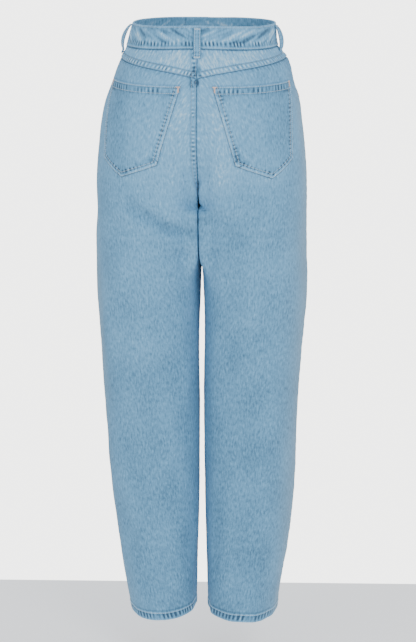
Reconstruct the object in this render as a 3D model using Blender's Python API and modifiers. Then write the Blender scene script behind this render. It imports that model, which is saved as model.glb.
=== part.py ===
"""High-waisted, tapered jeans, hollow and in the pose in which they are worn.

Metres, +Z up. The origin is the middle of the waist opening, level with the top of the
waistband. The front faces -Y, so +X is the wearer's left side.

Every cloth piece is a wall through points of one surface. A point of that surface has a side
(+1 left, -1 right), a height z, and a place w round the half of the body or the leg:
0 at the centre front or the inseam, 1 at the side seam, 2 at the centre back or the inseam.
"""

import math
from collections import namedtuple

import bmesh
import bpy
import numpy as np

# Cloth
WALL = 0.0015  # one layer of denim
HEM_WALL = 0.0030  # the turned-up hem
BAND_WALL = 0.0026  # the folded waistband
PATCH_WALL = 0.0013  # pockets, fly and belt loops
GAP = 0.0003  # between pieces that are sewn together
SEAT_GAP = 0.0006  # between a piece and a neighbour whose facets differ from its own

# Heights
BAND_HEIGHT = 0.038
CROTCH_Z = -0.305
HEM_Z = -1.038
HEM_DEPTH = 0.016
YOKE_SIDE_Z = -0.058  # the yoke seam at the side seam
YOKE_BACK_Z = -0.080  # the yoke seam at the centre back

YOKE_DIP_POWER = 2.0  # how late on the way to the centre back it dips

# The rise: where the centre seams start to curve in, and how square their curve is
RISE_TOP_Z = -0.110
RISE_FRONT_POWER = 2.6
RISE_BACK_POWER = 3.0
INSEAM_Y = -0.004

# The outline of each section
SIDE_SEAM_Y = -0.006
POWER = 2.1  # of the superellipse: 2 is an ellipse, and more is squarer
CLEFT_POWER = 3.0  # the same where the legs meet, at the crotch
CLEFT_TOP_Z = -0.215
CLEFT_FOOT_Z = -0.480
PEAK_WAIST = 0.22  # where the front and back stand out most, from the inner side (0) to the outer (1)
PEAK_LEG = 0.50
EVEN_FOOT_Z = -0.255  # w is even along the cloth down to here
LEG_TOP_Z = -0.375

Section = namedtuple("Section", "z outer_left outer_right inner front back")
SECTIONS = [
    Section(0.000, 0.1160, 0.1239, 0.0000, 0.093, 0.091),
    Section(-0.018, 0.1211, 0.1251, 0.0000, 0.095, 0.093),
    Section(-0.040, 0.1282, 0.1292, 0.0000, 0.098, 0.098),
    Section(-0.061, 0.1390, 0.1445, 0.0000, 0.103, 0.106),
    Section(-0.098, 0.1510, 0.1560, 0.0000, 0.107, 0.114),
    Section(-0.132, 0.1640, 0.1660, 0.0000, 0.108, 0.120),
    Section(-0.168, 0.1715, 0.1705, 0.0000, 0.108, 0.124),
    Section(-0.208, 0.1755, 0.1750, 0.0000, 0.107, 0.125),
    Section(-0.269, 0.1805, 0.1785, 0.0002, 0.105, 0.116),
    Section(-0.339, 0.1835, 0.1785, 0.0006, 0.103, 0.106),
    Section(-0.407, 0.1811, 0.1781, 0.0012, 0.100, 0.099),
    Section(-0.511, 0.1780, 0.1759, 0.0051, 0.095, 0.090),
    Section(-0.620, 0.1707, 0.1687, 0.0063, 0.090, 0.083),
    Section(-0.693, 0.1672, 0.1642, 0.0073, 0.086, 0.080),
    Section(-0.824, 0.1549, 0.1580, 0.0085, 0.080, 0.078),
    Section(-0.910, 0.1431, 0.1503, 0.0093, 0.075, 0.076),
    Section(-0.980, 0.1332, 0.1394, 0.0102, 0.071, 0.075),
    Section(-1.040, 0.1241, 0.1314, 0.0115, 0.068, 0.073),
]

# The largest folds: soft troughs from one place on the surface to another
FOLD_ARC = 0.25  # metres of cloth in one unit of w
FOLD_HOLD = 0.06  # no fold reaches the inseam or the centre seams, from this w on
Fold = namedtuple("Fold", "side w0 z0 w1 z1 width depth")
FOLDS = [
    Fold(1, 1.50, -0.284, 1.70, -0.346, 0.013, 0.0040),
    Fold(1, 1.60, -0.334, 1.93, -0.352, 0.012, 0.0045),
    Fold(-1, 1.60, -0.326, 1.97, -0.311, 0.013, 0.0045),
    Fold(-1, 1.50, -0.352, 1.84, -0.340, 0.014, 0.0025),
    Fold(1, 1.10, -0.382, 1.16, -0.653, 0.018, 0.0030),
    Fold(-1, 1.12, -0.330, 1.08, -0.568, 0.018, 0.0030),
    Fold(-1, 1.25, -0.511, 1.75, -0.537, 0.022, 0.0025),
    Fold(1, 1.30, -0.600, 1.80, -0.568, 0.022, 0.0025),
    Fold(1, 0.10, -0.296, 0.60, -0.232, 0.015, 0.0024),
    Fold(-1, 0.10, -0.290, 0.56, -0.238, 0.015, 0.0026),
    Fold(1, 0.16, -0.330, 0.66, -0.372, 0.018, 0.0022),
    Fold(-1, 0.18, -0.342, 0.70, -0.372, 0.018, 0.0022),
    Fold(1, 0.20, -0.589, 0.75, -0.568, 0.022, 0.0025),
    Fold(-1, 0.25, -0.568, 0.80, -0.600, 0.022, 0.0025),
    Fold(1, 0.20, -0.936, 0.80, -0.958, 0.022, 0.0025),
    Fold(-1, 0.15, -0.963, 0.75, -0.936, 0.022, 0.0025),
]

# Grid lines of the panels
FRONT_COLUMNS = 12
BACK_COLUMNS = 14
TORSO_ROWS = 10
TORSO_FOOT_Z = -0.245
CROTCH_ROWS = 6  # denser towards the crotch
THIGH_ROWS = 5
THIGH_FOOT_Z = -0.375
LEG_ROWS = 17
HEM_ROWS = 2
YOKE_ROWS = 2
BAND_ROWS = 2
BAND_COLUMNS = 22  # round each half

# Waistband
BAND_PROUD = 0.0008  # how far it stands out from the panels
BAND_OVER_LAP = 0.004  # the upper end, past the centre front
BAND_UNDER_LAP = 0.036  # the lower end, under the upper one
BAND_STEP_ARC = 0.050  # in which the lower end moves in

# Back pockets: corners by the way round from the centre back seam, and the height
Corner = namedtuple("Corner", "across z")
POCKET_CORNERS = [
    Corner(0.0257, -0.0947),  # top, towards the centre back
    Corner(0.1820, -0.0920),  # top, towards the side
    Corner(0.1775, -0.2185),
    Corner(0.1300, -0.2485),  # tip
    Corner(0.0657, -0.2257),
]

# Front pockets
SCOOP_FOOT_Z = -0.118  # where the pocket's mouth meets the side seam
SCOOP_WIDTH = 0.080  # along the waistband, from the side seam
FACING_LAP = 0.006
SCOOP_SIDES = 6

# Fly
FLY_WIDTH = 0.038
FLY_STRAIGHT_Z = -0.165
FLY_FOOT_Z = -0.205
FLY_BEND_SIDES = 4

# Belt loops: the way round w, the side, and how far they stand out from a straight line
LOOP_WIDTH = 0.012
LOOP_TOP_Z = -0.004
LOOP_SEAT_Z = -0.045
LOOP_FOOT_Z = -0.053
LOOP_STEPS = 8
Loop = namedtuple("Loop", "name side w slack")
LOOPS = [
    Loop("belt_loop_back", 1, 2.0, 0.0022),
    Loop("belt_loop_side_left", 1, 1.08, 0.0058),
    Loop("belt_loop_side_right", -1, 1.08, 0.0046),
    Loop("belt_loop_front_left", 1, 0.42, 0.0028),
    Loop("belt_loop_front_right", -1, 0.42, 0.0024),
]

# Button
BUTTON_X = 0.017
BUTTON_RADIUS = 0.0085
BUTTON_SHANK_RADIUS = 0.0040
BUTTON_SHANK = 0.0012
BUTTON_HEIGHT = 0.0042
BUTTON_STEPS = 28

HALF_GAP = GAP / 2
ARC_SAMPLES = 24  # in each quarter of a section
SMALL_Z = 0.0005
SMALL_T = 0.01
SMALL_TURN = 0.0001

DENIM = (0.296, 0.440, 0.578)
METAL = (0.55, 0.53, 0.50)


def clear_scene():
    for obj in list(bpy.data.objects):
        bpy.data.objects.remove(obj)


def material(name, colour, roughness, metallic=0.0):
    made = bpy.data.materials.new(name)
    made.use_nodes = True
    shader = made.node_tree.nodes["Principled BSDF"]
    shader.inputs["Base Color"].default_value = (*colour, 1.0)
    shader.inputs["Roughness"].default_value = roughness
    shader.inputs["Metallic"].default_value = metallic
    return made


def eased(share):
    """From 0 to 1 with level ends."""
    share = np.clip(share, 0, 1)
    return share**2 * (3 - 2 * share)


def column(name, z):
    """A column of the section table at height z, on a smooth curve through its rows."""
    heights = np.array([row.z for row in SECTIONS])[::-1]
    values = np.array([getattr(row, name) for row in SECTIONS])[::-1]
    slopes = np.gradient(values, heights)
    i = np.clip(np.searchsorted(heights, z, side="right") - 1, 0, len(heights) - 2)
    step = heights[i + 1] - heights[i]
    t = np.clip((z - heights[i]) / step, 0.0, 1.0)
    return (
        values[i] * (1 + 2 * t) * (1 - t) ** 2
        + slopes[i] * step * t * (1 - t) ** 2
        + values[i + 1] * t**2 * (3 - 2 * t)
        + slopes[i + 1] * step * t**2 * (t - 1)
    )


def section_shapes(z, side):
    """The measures of the half section at each height. Each is a row, so that they index alike."""
    outer = column("outer_left" if side > 0 else "outer_right", z)
    inner = np.maximum(column("inner", z), HALF_GAP)
    down = np.clip((RISE_TOP_Z - z) / (RISE_TOP_Z - CROTCH_Z), 0.0, 1.0)
    reach_front = np.sqrt(1 - down**RISE_FRONT_POWER)
    reach_back = np.sqrt(1 - down**RISE_BACK_POWER)
    peak = PEAK_WAIST + (PEAK_LEG - PEAK_WAIST) * np.clip(z / CROTCH_Z, 0.0, 1.0) ** 0.5
    peak_x = inner + peak * (outer - inner)
    from_crotch = np.where(z > CROTCH_Z, CLEFT_TOP_Z - z, z - CLEFT_FOOT_Z)
    span = np.where(z > CROTCH_Z, CLEFT_TOP_Z - CROTCH_Z, CROTCH_Z - CLEFT_FOOT_Z)
    inner_power = POWER + (CLEFT_POWER - POWER) * eased(from_crotch / span)
    front, back = -column("front", z), column("back", z)
    return np.array([inner, outer, peak_x, front, back, reach_front, reach_back, inner_power])


def section_points(shapes, quarter, t):
    """Points on half sections, at +X. Quarters 0 to 3 run from the inner front to the inner back.

    Each quarter is an arc of a superellipse. Above the crotch an inner one is cut off by the
    middle plane, where two legs run together into one body.
    """
    inner, outer, peak_x, front, back, reach_front, reach_back, inner_power = shapes
    inside = (quarter == 0) | (quarter == 3)
    power = np.where(inside, inner_power, POWER)
    reach = np.where(quarter == 0, reach_front, np.where(quarter == 3, reach_back, 0.0))
    share = np.where((quarter == 0) | (quarter == 2), 1 - t, t)
    even = share ** (power / 2)
    even = even / (even + (1 - share) ** (power / 2))
    whole_turn = np.maximum(np.arccos(reach ** (power / 2)), SMALL_TURN)
    turn = even * whole_turn
    run = (np.sin(turn) / np.sin(whole_turn)) ** (2 / power)
    rise = np.cos(turn) ** (2 / power)
    end_x = np.where(inside, inner, outer)
    end_y = np.where(inside, INSEAM_Y, SIDE_SEAM_Y)
    peak_y = np.where(quarter < 2, front, back)
    return np.stack([peak_x + (end_x - peak_x) * run, end_y + (peak_y - end_y) * rise], axis=-1)


def section_lengths(shapes):
    """How far along each section its samples lie."""
    samples = np.arange(4 * ARC_SAMPLES + 1)
    quarter = np.minimum(samples // ARC_SAMPLES, 3)
    t = samples / ARC_SAMPLES - quarter
    points = section_points(shapes[:, :, None], quarter, t)
    steps = np.linalg.norm(np.diff(points, axis=1), axis=2)
    return np.concatenate([np.zeros((len(steps), 1)), np.cumsum(steps, axis=1)], axis=1)


def arcs(z, side):
    """(front, back): the way round from the centre front to the side seam, and on to the back."""
    along = section_lengths(section_shapes(np.array([float(z)]), side))[0]
    return along[2 * ARC_SAMPLES], along[-1] - along[2 * ARC_SAMPLES]


def places(z, w, side):
    """(quarter, t) on the sections, for flat arrays of heights and ways round.

    In the torso w is even along the cloth. Towards the crotch the quarters that curve in to it
    grow fast, so there w changes over slowly to 0.5 a quarter, and the columns stay smooth.
    """
    shapes = section_shapes(z, side)
    along = section_lengths(shapes)
    first, half, third = (along[:, k * ARC_SAMPLES] for k in (1, 2, 3))
    whole = along[:, -1]
    from_seam = np.where(w < 1, w, 2 - w)
    inner = np.where(w < 1, first, whole - third)
    outer = np.where(w < 1, half - first, third - half)
    straight = shapes[2] - shapes[0]
    leg = eased((EVEN_FOOT_Z - z) / (EVEN_FOOT_Z - LEG_TOP_Z))
    peak_way = straight / (straight + outer) * (1 - leg) + 0.5 * leg
    wanted = np.where(
        from_seam < peak_way,
        from_seam / peak_way * inner,
        inner + (from_seam - peak_way) / (1 - peak_way) * outer,
    )
    wanted = np.clip(np.where(w < 1, wanted, whole - wanted), 0.0, whole)
    i = np.clip((along <= wanted[:, None]).sum(axis=1) - 1, 0, 4 * ARC_SAMPLES - 1)
    rows = np.arange(len(z))
    t = i + (wanted - along[rows, i]) / (along[rows, i + 1] - along[rows, i])
    quarter = np.minimum(i // ARC_SAMPLES, 3)
    return quarter, np.clip(t / ARC_SAMPLES - quarter, 0, 1)


def base_points(z, quarter, t, side):
    """Points of the smooth surface, at +X."""
    return np.column_stack([section_points(section_shapes(z, side), quarter, t), z])


def fold_depth(z, w, side):
    """How far the folds press the surface in: each a trough with a low ridge on both sides."""
    total = np.zeros_like(z)
    for fold in FOLDS:
        if fold.side != side:
            continue
        start = np.array([fold.w0 * FOLD_ARC, fold.z0])
        run = np.array([fold.w1 * FOLD_ARC, fold.z1]) - start
        length = np.linalg.norm(run)
        from_start = np.column_stack([w * FOLD_ARC, z]) - start
        along = from_start @ run / length**2
        off = (from_start[:, 0] * run[1] - from_start[:, 1] * run[0]) / length / fold.width
        ends = np.clip(1 - (2 * along - 1) ** 2, 0.0, 1.0) ** 0.75
        total += fold.depth * ends * (1 - off**2) * np.exp(-(off**2) / 2)
    return total * np.clip(np.minimum(w, 2 - w) / FOLD_HOLD, 0, 1)


def surface(z, w, side):
    """(points, ways out) for arrays of heights and ways round, of any one shape."""
    z, w = np.broadcast_arrays(np.asarray(z, float), np.asarray(w, float))
    shape = z.shape
    z, w = z.ravel(), w.ravel()
    quarter, t = places(z, w, side)
    points = base_points(z, quarter, t, side)
    t_low, t_high = np.clip(t - SMALL_T, 0, 1), np.clip(t + SMALL_T, 0, 1)
    round_it = base_points(z, quarter, t_high, side) - base_points(z, quarter, t_low, side)
    up = base_points(z + SMALL_Z, quarter, t, side) - base_points(z - SMALL_Z, quarter, t, side)
    out = np.cross(round_it, up)
    out /= np.linalg.norm(out, axis=1)[:, None]
    points -= out * fold_depth(z, w, side)[:, None]
    mirror = np.array([side, 1, 1])
    return (points * mirror).reshape(*shape, 3), (out * mirror).reshape(*shape, 3)


def new_object(name, mesh, finish, collection):
    data = bpy.data.meshes.new(name)
    mesh.to_mesh(data)
    mesh.free()
    obj = bpy.data.objects.new(name, data)
    obj.data.materials.append(finish)
    collection.objects.link(obj)
    return obj


def sheet(points, ways_out):
    """An open sheet of triangles through a grid of points. Each vertex keeps its way out."""
    mesh = bmesh.new()
    way_out = mesh.verts.layers.float_vector.new("way_out")
    rows, columns = points.shape[:2]
    grid = [[mesh.verts.new(p) for p in row] for row in points]
    for i in range(rows):
        for j in range(columns):
            grid[i][j][way_out] = ways_out[i, j]
    for i in range(rows - 1):
        for j in range(columns - 1):
            mesh.faces.new((grid[i][j], grid[i + 1][j], grid[i + 1][j + 1], grid[i][j + 1]))
    bmesh.ops.triangulate(mesh, faces=mesh.faces[:], quad_method="FIXED")
    return mesh


def clip(mesh, point, plane_out):
    """Cuts off what lies beyond a plane."""
    everything = mesh.verts[:] + mesh.edges[:] + mesh.faces[:]
    bmesh.ops.bisect_plane(
        mesh, geom=everything, dist=1e-7, plane_co=point, plane_no=plane_out, clear_outer=True
    )
    bmesh.ops.triangulate(mesh, faces=mesh.faces[:])


def edge_planes(points, ways_out, middle, lap):
    """(point, way out) of a plane along each stretch of an outline on the cloth, lap outside it."""
    planes = []
    for start, end, out_a, out_b in zip(points, points[1:], ways_out, ways_out[1:]):
        plane_out = np.cross(end - start, out_a + out_b)
        plane_out /= np.linalg.norm(plane_out)
        if (middle - start) @ plane_out > 0:
            plane_out = -plane_out
        planes.append((start + plane_out * lap, plane_out))
    return planes


def inside_planes(point, planes, reach):
    return all((np.array(point) - start) @ plane_out < reach for start, plane_out in planes)


def wall(cloth, outside, inside):
    """A closed wall on a sheet, from one distance out of it to another.

    inside may be a function of the height.
    """
    way_out = cloth.verts.layers.float_vector["way_out"]
    mesh = bmesh.new()
    outer = {}
    inner = {}
    for v in cloth.verts:
        depth = inside(v.co.z) if callable(inside) else inside
        outer[v] = mesh.verts.new(v.co + v[way_out] * outside)
        inner[v] = mesh.verts.new(v.co + v[way_out] * depth)
    for face in cloth.faces:
        mesh.faces.new([outer[v] for v in face.verts])
        mesh.faces.new([inner[v] for v in reversed(face.verts)])
    for edge in cloth.edges:
        if edge.is_boundary:
            a, b = edge.verts
            mesh.faces.new((outer[a], inner[a], inner[b], outer[b]))
    bmesh.ops.recalc_face_normals(mesh, faces=mesh.faces[:])
    cloth.free()
    return mesh


def row_heights(top):
    """The heights of a panel's grid, a row for each line, under its upper edge."""
    torso = [top + (TORSO_FOOT_Z - top) * i / TORSO_ROWS for i in range(TORSO_ROWS + 1)]
    flat = np.ones_like(top)
    steps = np.sin(np.linspace(0, math.pi / 2, CROTCH_ROWS + 1)[1:])
    crotch = [flat * (TORSO_FOOT_Z + (CROTCH_Z - TORSO_FOOT_Z) * step) for step in steps]
    hem_top = HEM_Z + HEM_DEPTH
    thigh = [flat * z for z in np.linspace(CROTCH_Z, THIGH_FOOT_Z, THIGH_ROWS + 1)[1:]]
    leg = [flat * z for z in np.linspace(THIGH_FOOT_Z, hem_top, LEG_ROWS + 1)[1:]]
    hem = [flat * z for z in np.linspace(hem_top, HEM_Z, HEM_ROWS + 1)[1:]]
    return np.array(torso + crotch + thigh + leg + hem)


def edge_share(z, side, back):
    """Half the seam gap, as a share of the way round the front or the back at height z."""
    return HALF_GAP / arcs(z, side)[back]


def yoke_seam(w):
    """The height of the yoke seam, which dips to a point at the centre back."""
    return YOKE_SIDE_Z + (YOKE_BACK_Z - YOKE_SIDE_Z) * np.maximum(w - 1, 0) ** YOKE_DIP_POWER


def leg_inside(z):
    """The inner side of a leg's wall, which is thicker at the turned-up hem."""
    return -HEM_WALL if z < HEM_Z + 0.75 * HEM_DEPTH else -WALL


def whole_front_sheet(side):
    """A front panel up to the waistband and out to the side seam, with no pocket mouth cut yet."""
    top = np.full(FRONT_COLUMNS + 1, -BAND_HEIGHT - GAP)
    heights = row_heights(top)
    ways = np.empty_like(heights)
    for i, z in enumerate(heights[:, 0]):
        seam = edge_share(z, side, 0)
        ways[i] = np.linspace(seam, 1 - seam, FRONT_COLUMNS + 1)
    return sheet(*surface(heights, ways, side))


def scoop_planes(side, lap):
    """(point, way out) of the planes along a front pocket's mouth, a quarter of an ellipse."""
    turns = np.linspace(0, math.pi / 2, SCOOP_SIDES + 1)
    z = -BAND_HEIGHT + (SCOOP_FOOT_Z + BAND_HEIGHT) * np.sin(turns)
    share = 1 - SCOOP_WIDTH / arcs(SCOOP_FOOT_Z, side)[0] * np.cos(turns)
    points, ways_out = surface(z, share, side)
    corner = surface(np.array([-BAND_HEIGHT]), np.array([1.0]), side)[0][0]
    return edge_planes(points, ways_out, corner, lap)


def front_sheet(side):
    """The front panel, less the mouth of its pocket."""
    cloth = whole_front_sheet(side)
    planes = scoop_planes(side, 0)
    for point, plane_out in planes:
        near = [
            f for f in cloth.faces if inside_planes(f.calc_center_median(), planes, SCOOP_WIDTH / 2)
        ]
        edges = list(dict.fromkeys(e for f in near for e in f.edges))
        verts = list(dict.fromkeys(v for f in near for v in f.verts))
        geometry = near + edges + verts
        bmesh.ops.bisect_plane(cloth, geom=geometry, dist=1e-7, plane_co=point, plane_no=plane_out)
    bmesh.ops.triangulate(cloth, faces=cloth.faces[:])
    mouth = [f for f in cloth.faces if inside_planes(f.calc_center_median(), planes, 0)]
    bmesh.ops.delete(cloth, geom=mouth, context="FACES")
    return cloth


def back_sheet(side):
    ways = np.linspace(1, 2, BACK_COLUMNS + 1)
    heights = row_heights(yoke_seam(ways) - HALF_GAP)
    grid = np.empty_like(heights)
    for i, z in enumerate(heights[:, -1]):
        seam = edge_share(z, side, 1)
        grid[i] = np.linspace(1 + seam, 2 - seam, BACK_COLUMNS + 1)
    return sheet(*surface(heights, grid, side))


def yoke_sheet(side):
    seam = edge_share(YOKE_SIDE_Z, side, 1)
    ways = np.linspace(1 + seam, 2 - seam, BACK_COLUMNS + 1)
    top = np.full_like(ways, -BAND_HEIGHT - GAP)
    foot = yoke_seam(ways) + HALF_GAP
    heights = np.array([top + (foot - top) * i / YOKE_ROWS for i in range(YOKE_ROWS + 1)])
    return sheet(*surface(heights, np.broadcast_to(ways, heights.shape), side))


def pocket_sheet(side):
    """The back panel's own sheet, cut along the pocket's five edges."""
    cloth = back_sheet(side)
    corners = [(corner.z, 2 - corner.across / arcs(corner.z, side)[1]) for corner in POCKET_CORNERS]
    points, ways_out = surface(*np.array(corners + corners[:1]).T, side)
    for point, plane_out in edge_planes(points, ways_out, points[:-1].mean(axis=0), 0):
        clip(cloth, point, plane_out)
    return cloth


def fly_sheet():
    """The left front panel's sheet, cut to a strip with a rounded foot."""
    cloth = front_sheet(1)
    clip(cloth, (FLY_WIDTH, 0, 0), (1, 0, 0))
    for k in range(1, FLY_BEND_SIDES + 1):
        angles = [math.pi / 2 * (k - 1) / FLY_BEND_SIDES, math.pi / 2 * k / FLY_BEND_SIDES]
        x0, x1 = (FLY_WIDTH * math.cos(a) for a in angles)
        z0, z1 = (FLY_STRAIGHT_Z + (FLY_FOOT_Z - FLY_STRAIGHT_Z) * math.sin(a) for a in angles)
        clip(cloth, (x0, 0, z0), (z0 - z1, 0, x1 - x0))
    return cloth


def facing_sheet(side):
    """The cloth that shows in the mouth of a front pocket, and laps under the panel's edge."""
    cloth = whole_front_sheet(side)
    for point, plane_out in scoop_planes(side, FACING_LAP):
        clip(cloth, point, plane_out)
    return cloth


def band_sheet():
    """The waistband: from its upper end round the left side and the back to its lower end."""
    front = arcs(-BAND_HEIGHT / 2, 1)[0]
    left = np.linspace(BAND_UNDER_LAP / front, 2, BAND_COLUMNS)
    right = np.linspace(2, 0, BAND_COLUMNS + 4)[1:-1]
    stations = [(-1, BAND_OVER_LAP / front), (1, 0.25 * BAND_UNDER_LAP / front)]
    stations += [(1, w) for w in left]
    stations += [(-1, w) for w in right]
    stations += [(1, 0.25 * BAND_UNDER_LAP / front), (1, BAND_UNDER_LAP / front)]
    heights = np.linspace(0, -BAND_HEIGHT, BAND_ROWS + 1)
    points = np.empty((BAND_ROWS + 1, len(stations), 3))
    ways_out = np.empty_like(points)
    for j, (side, w) in enumerate(stations):
        column_points, out = surface(heights, np.full(BAND_ROWS + 1, w), side)
        from_front = w * front * -side
        last = j > len(stations) / 2
        moved_in = eased((BAND_STEP_ARC - from_front) / (0.6 * BAND_STEP_ARC)) if last else 0
        points[:, j] = column_points - out * moved_in * (BAND_WALL + GAP)
        ways_out[:, j] = out
    return sheet(points, ways_out)


def loop_sheet(loop):
    """A strip that leaves the top of the waistband, stands out, and is seated under it."""
    heights = np.array([LOOP_TOP_Z, LOOP_SEAT_Z, LOOP_FOOT_Z])
    points, ways_out = surface(heights, np.full(3, loop.w), loop.side)
    if loop.w == 2:
        points[:, 0] = 0
        ways_out[:, 0] = 0
        ways_out /= np.linalg.norm(ways_out, axis=1)[:, None]
    level_out = np.array([ways_out[0, 0], ways_out[0, 1], 0])
    level_out /= np.linalg.norm(level_out)
    across = np.cross(level_out, (0, 0, 1))
    top = points[0] + level_out * (BAND_PROUD + SEAT_GAP)
    seat = points[1] + ways_out[1] * SEAT_GAP
    foot = points[2] + ways_out[2] * SEAT_GAP
    path = []
    for k in range(LOOP_STEPS + 1):
        t = k / LOOP_STEPS
        bulge = loop.slack * math.sin(math.pi * t) ** 0.6
        path.append(top + (seat - top) * t + level_out * bulge)
    path = np.array(path + [foot])
    along = np.gradient(path, axis=0)
    out = np.cross(along, across)
    out /= np.linalg.norm(out, axis=1)[:, None]
    out *= np.sign(out @ level_out)[:, None]
    spread = np.array([-0.5, 0.0, 0.5])[None, :, None] * LOOP_WIDTH * across
    return sheet(path[:, None] + spread, np.repeat(out[:, None], 3, axis=1))


def button(finish, collection):
    """A shank button: a domed cap with a rolled rim on a short neck, turned round its axis."""
    cap_foot = BUTTON_SHANK
    rim = 0.0006
    profile = [
        (0, BUTTON_HEIGHT - rim),
        (0.62 * BUTTON_RADIUS, BUTTON_HEIGHT - rim),
        (0.74 * BUTTON_RADIUS, BUTTON_HEIGHT),
        (0.90 * BUTTON_RADIUS, BUTTON_HEIGHT),
        (BUTTON_RADIUS, BUTTON_HEIGHT - 2 * rim),
        (BUTTON_RADIUS, cap_foot + rim),
        (0.90 * BUTTON_RADIUS, cap_foot),
        (BUTTON_SHANK_RADIUS, cap_foot),
        (BUTTON_SHANK_RADIUS, 0),
        (0, 0),
    ]
    mesh = bmesh.new()
    verts = [mesh.verts.new((r, 0, h)) for r, h in profile]
    for a, b in zip(verts, verts[1:]):
        mesh.edges.new((a, b))
    obj = new_object("button", mesh, finish, collection)
    turn = obj.modifiers.new("turn", "SCREW")
    turn.axis = "Z"
    turn.steps = turn.render_steps = BUTTON_STEPS
    turn.use_merge_vertices = True
    turn.merge_threshold = 0.00001
    turn.use_normal_calculate = True
    z = -BAND_HEIGHT / 2
    way = BUTTON_X / arcs(z, 1)[0]
    points, ways_out = surface(np.array([z]), np.array([way]), 1)
    obj.location = points[0] + ways_out[0] * (BAND_PROUD + GAP)
    slope = math.atan2(ways_out[0, 2], -ways_out[0, 1])
    obj.rotation_euler = (math.pi / 2 - slope, 0, math.atan2(ways_out[0, 0], -ways_out[0, 1]))
    return obj


def main():
    clear_scene()
    jeans = bpy.data.collections.new("jeans")
    bpy.context.scene.collection.children.link(jeans)
    denim = material("denim", DENIM, 0.85)
    metal = material("button_metal", METAL, 0.35, 1.0)

    for name, side in (("left", 1), ("right", -1)):
        pieces = {
            f"front_{name}": wall(front_sheet(side), 0, leg_inside),
            f"back_{name}": wall(back_sheet(side), 0, leg_inside),
            f"yoke_{name}": wall(yoke_sheet(side), 0, -WALL),
            f"pocket_back_{name}": wall(pocket_sheet(side), GAP + PATCH_WALL, GAP),
            f"pocket_facing_{name}": wall(
                facing_sheet(side), -WALL - GAP, -WALL - GAP - PATCH_WALL
            ),
        }
        for piece, mesh in pieces.items():
            new_object(piece, mesh, denim, jeans)
    new_object("fly", wall(fly_sheet(), GAP + PATCH_WALL, GAP), denim, jeans)
    new_object("waistband", wall(band_sheet(), BAND_PROUD, BAND_PROUD - BAND_WALL), denim, jeans)
    for loop in LOOPS:
        new_object(loop.name, wall(loop_sheet(loop), PATCH_WALL, 0), denim, jeans)
    button(metal, jeans)


main()
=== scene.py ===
"""The look of the jeans: cloth with folds, seams, stitches and a button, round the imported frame.

Metres, +Z up. A point of the cloth has a side (+1 the wearer's left, -1 right), a height z, and
a place w round the half of the body or the leg: 0 at the centre front or the inseam, 1 at the
side seam, 2 at the centre back or the inseam.
"""

import math
from collections import namedtuple

import bpy
import numpy as np
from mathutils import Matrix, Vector
from mathutils.bvhtree import BVHTree


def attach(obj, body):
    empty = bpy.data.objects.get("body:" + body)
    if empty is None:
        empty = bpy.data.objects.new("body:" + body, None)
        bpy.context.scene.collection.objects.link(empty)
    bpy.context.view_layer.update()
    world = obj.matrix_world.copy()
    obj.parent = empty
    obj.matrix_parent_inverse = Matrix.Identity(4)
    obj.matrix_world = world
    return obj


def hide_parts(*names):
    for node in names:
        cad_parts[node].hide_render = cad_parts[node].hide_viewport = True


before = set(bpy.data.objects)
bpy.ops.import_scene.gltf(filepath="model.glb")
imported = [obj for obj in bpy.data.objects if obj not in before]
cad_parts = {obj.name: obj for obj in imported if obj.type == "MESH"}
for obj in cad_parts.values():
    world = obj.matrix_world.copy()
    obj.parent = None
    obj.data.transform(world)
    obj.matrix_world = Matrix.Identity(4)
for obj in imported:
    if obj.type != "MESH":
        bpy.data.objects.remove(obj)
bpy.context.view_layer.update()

# The solids' own measures
WALL = 0.0015
HEM_WALL = 0.0030
BAND_WALL = 0.0026
PATCH_WALL = 0.0013
GAP = 0.0003
SEAT_GAP = 0.0006
HALF_GAP = GAP / 2
BAND_HEIGHT = 0.038
BAND_PROUD = 0.0008
BAND_OVER_LAP = 0.004
BAND_UNDER_LAP = 0.036
BAND_STEP_ARC = 0.050
CROTCH_Z = -0.305
HEM_Z = -1.038
HEM_DEPTH = 0.016
YOKE_SIDE_Z = -0.058
YOKE_BACK_Z = -0.0830  # 3 mm lower than on the solids
YOKE_DIP_POWER = 2.0
RISE_TOP_Z = -0.110
RISE_FRONT_POWER = 2.6
RISE_BACK_POWER = 3.0
INSEAM_Y = -0.004
SIDE_SEAM_Y = -0.006
POWER = 2.1
CLEFT_POWER = 3.0
CLEFT_TOP_Z = -0.215
CLEFT_FOOT_Z = -0.480
PEAK_WAIST = 0.22
PEAK_LEG = 0.50
EVEN_FOOT_Z = -0.255
LEG_TOP_Z = -0.375
TORSO_FOOT_Z = -0.245
SCOOP_FOOT_Z = -0.118
SCOOP_WIDTH = 0.080
FLY_WIDTH = 0.038
FLY_STRAIGHT_Z = -0.165
FLY_FOOT_Z = -0.205
LOOP_WIDTH = 0.012
LOOP_TOP_Z = -0.004
LOOP_SEAT_Z = -0.045
LOOP_FOOT_Z = -0.053
BUTTON_X = 0.017
BUTTON_RADIUS = 0.0085
BUTTON_HEIGHT = 0.0042
BUTTON_SHANK_RADIUS = 0.0040
BUTTON_SHANK = 0.0012
ARC_SAMPLES = 24
SMALL_Z = 0.0005
SMALL_T = 0.01
SMALL_TURN = 0.0001

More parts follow.
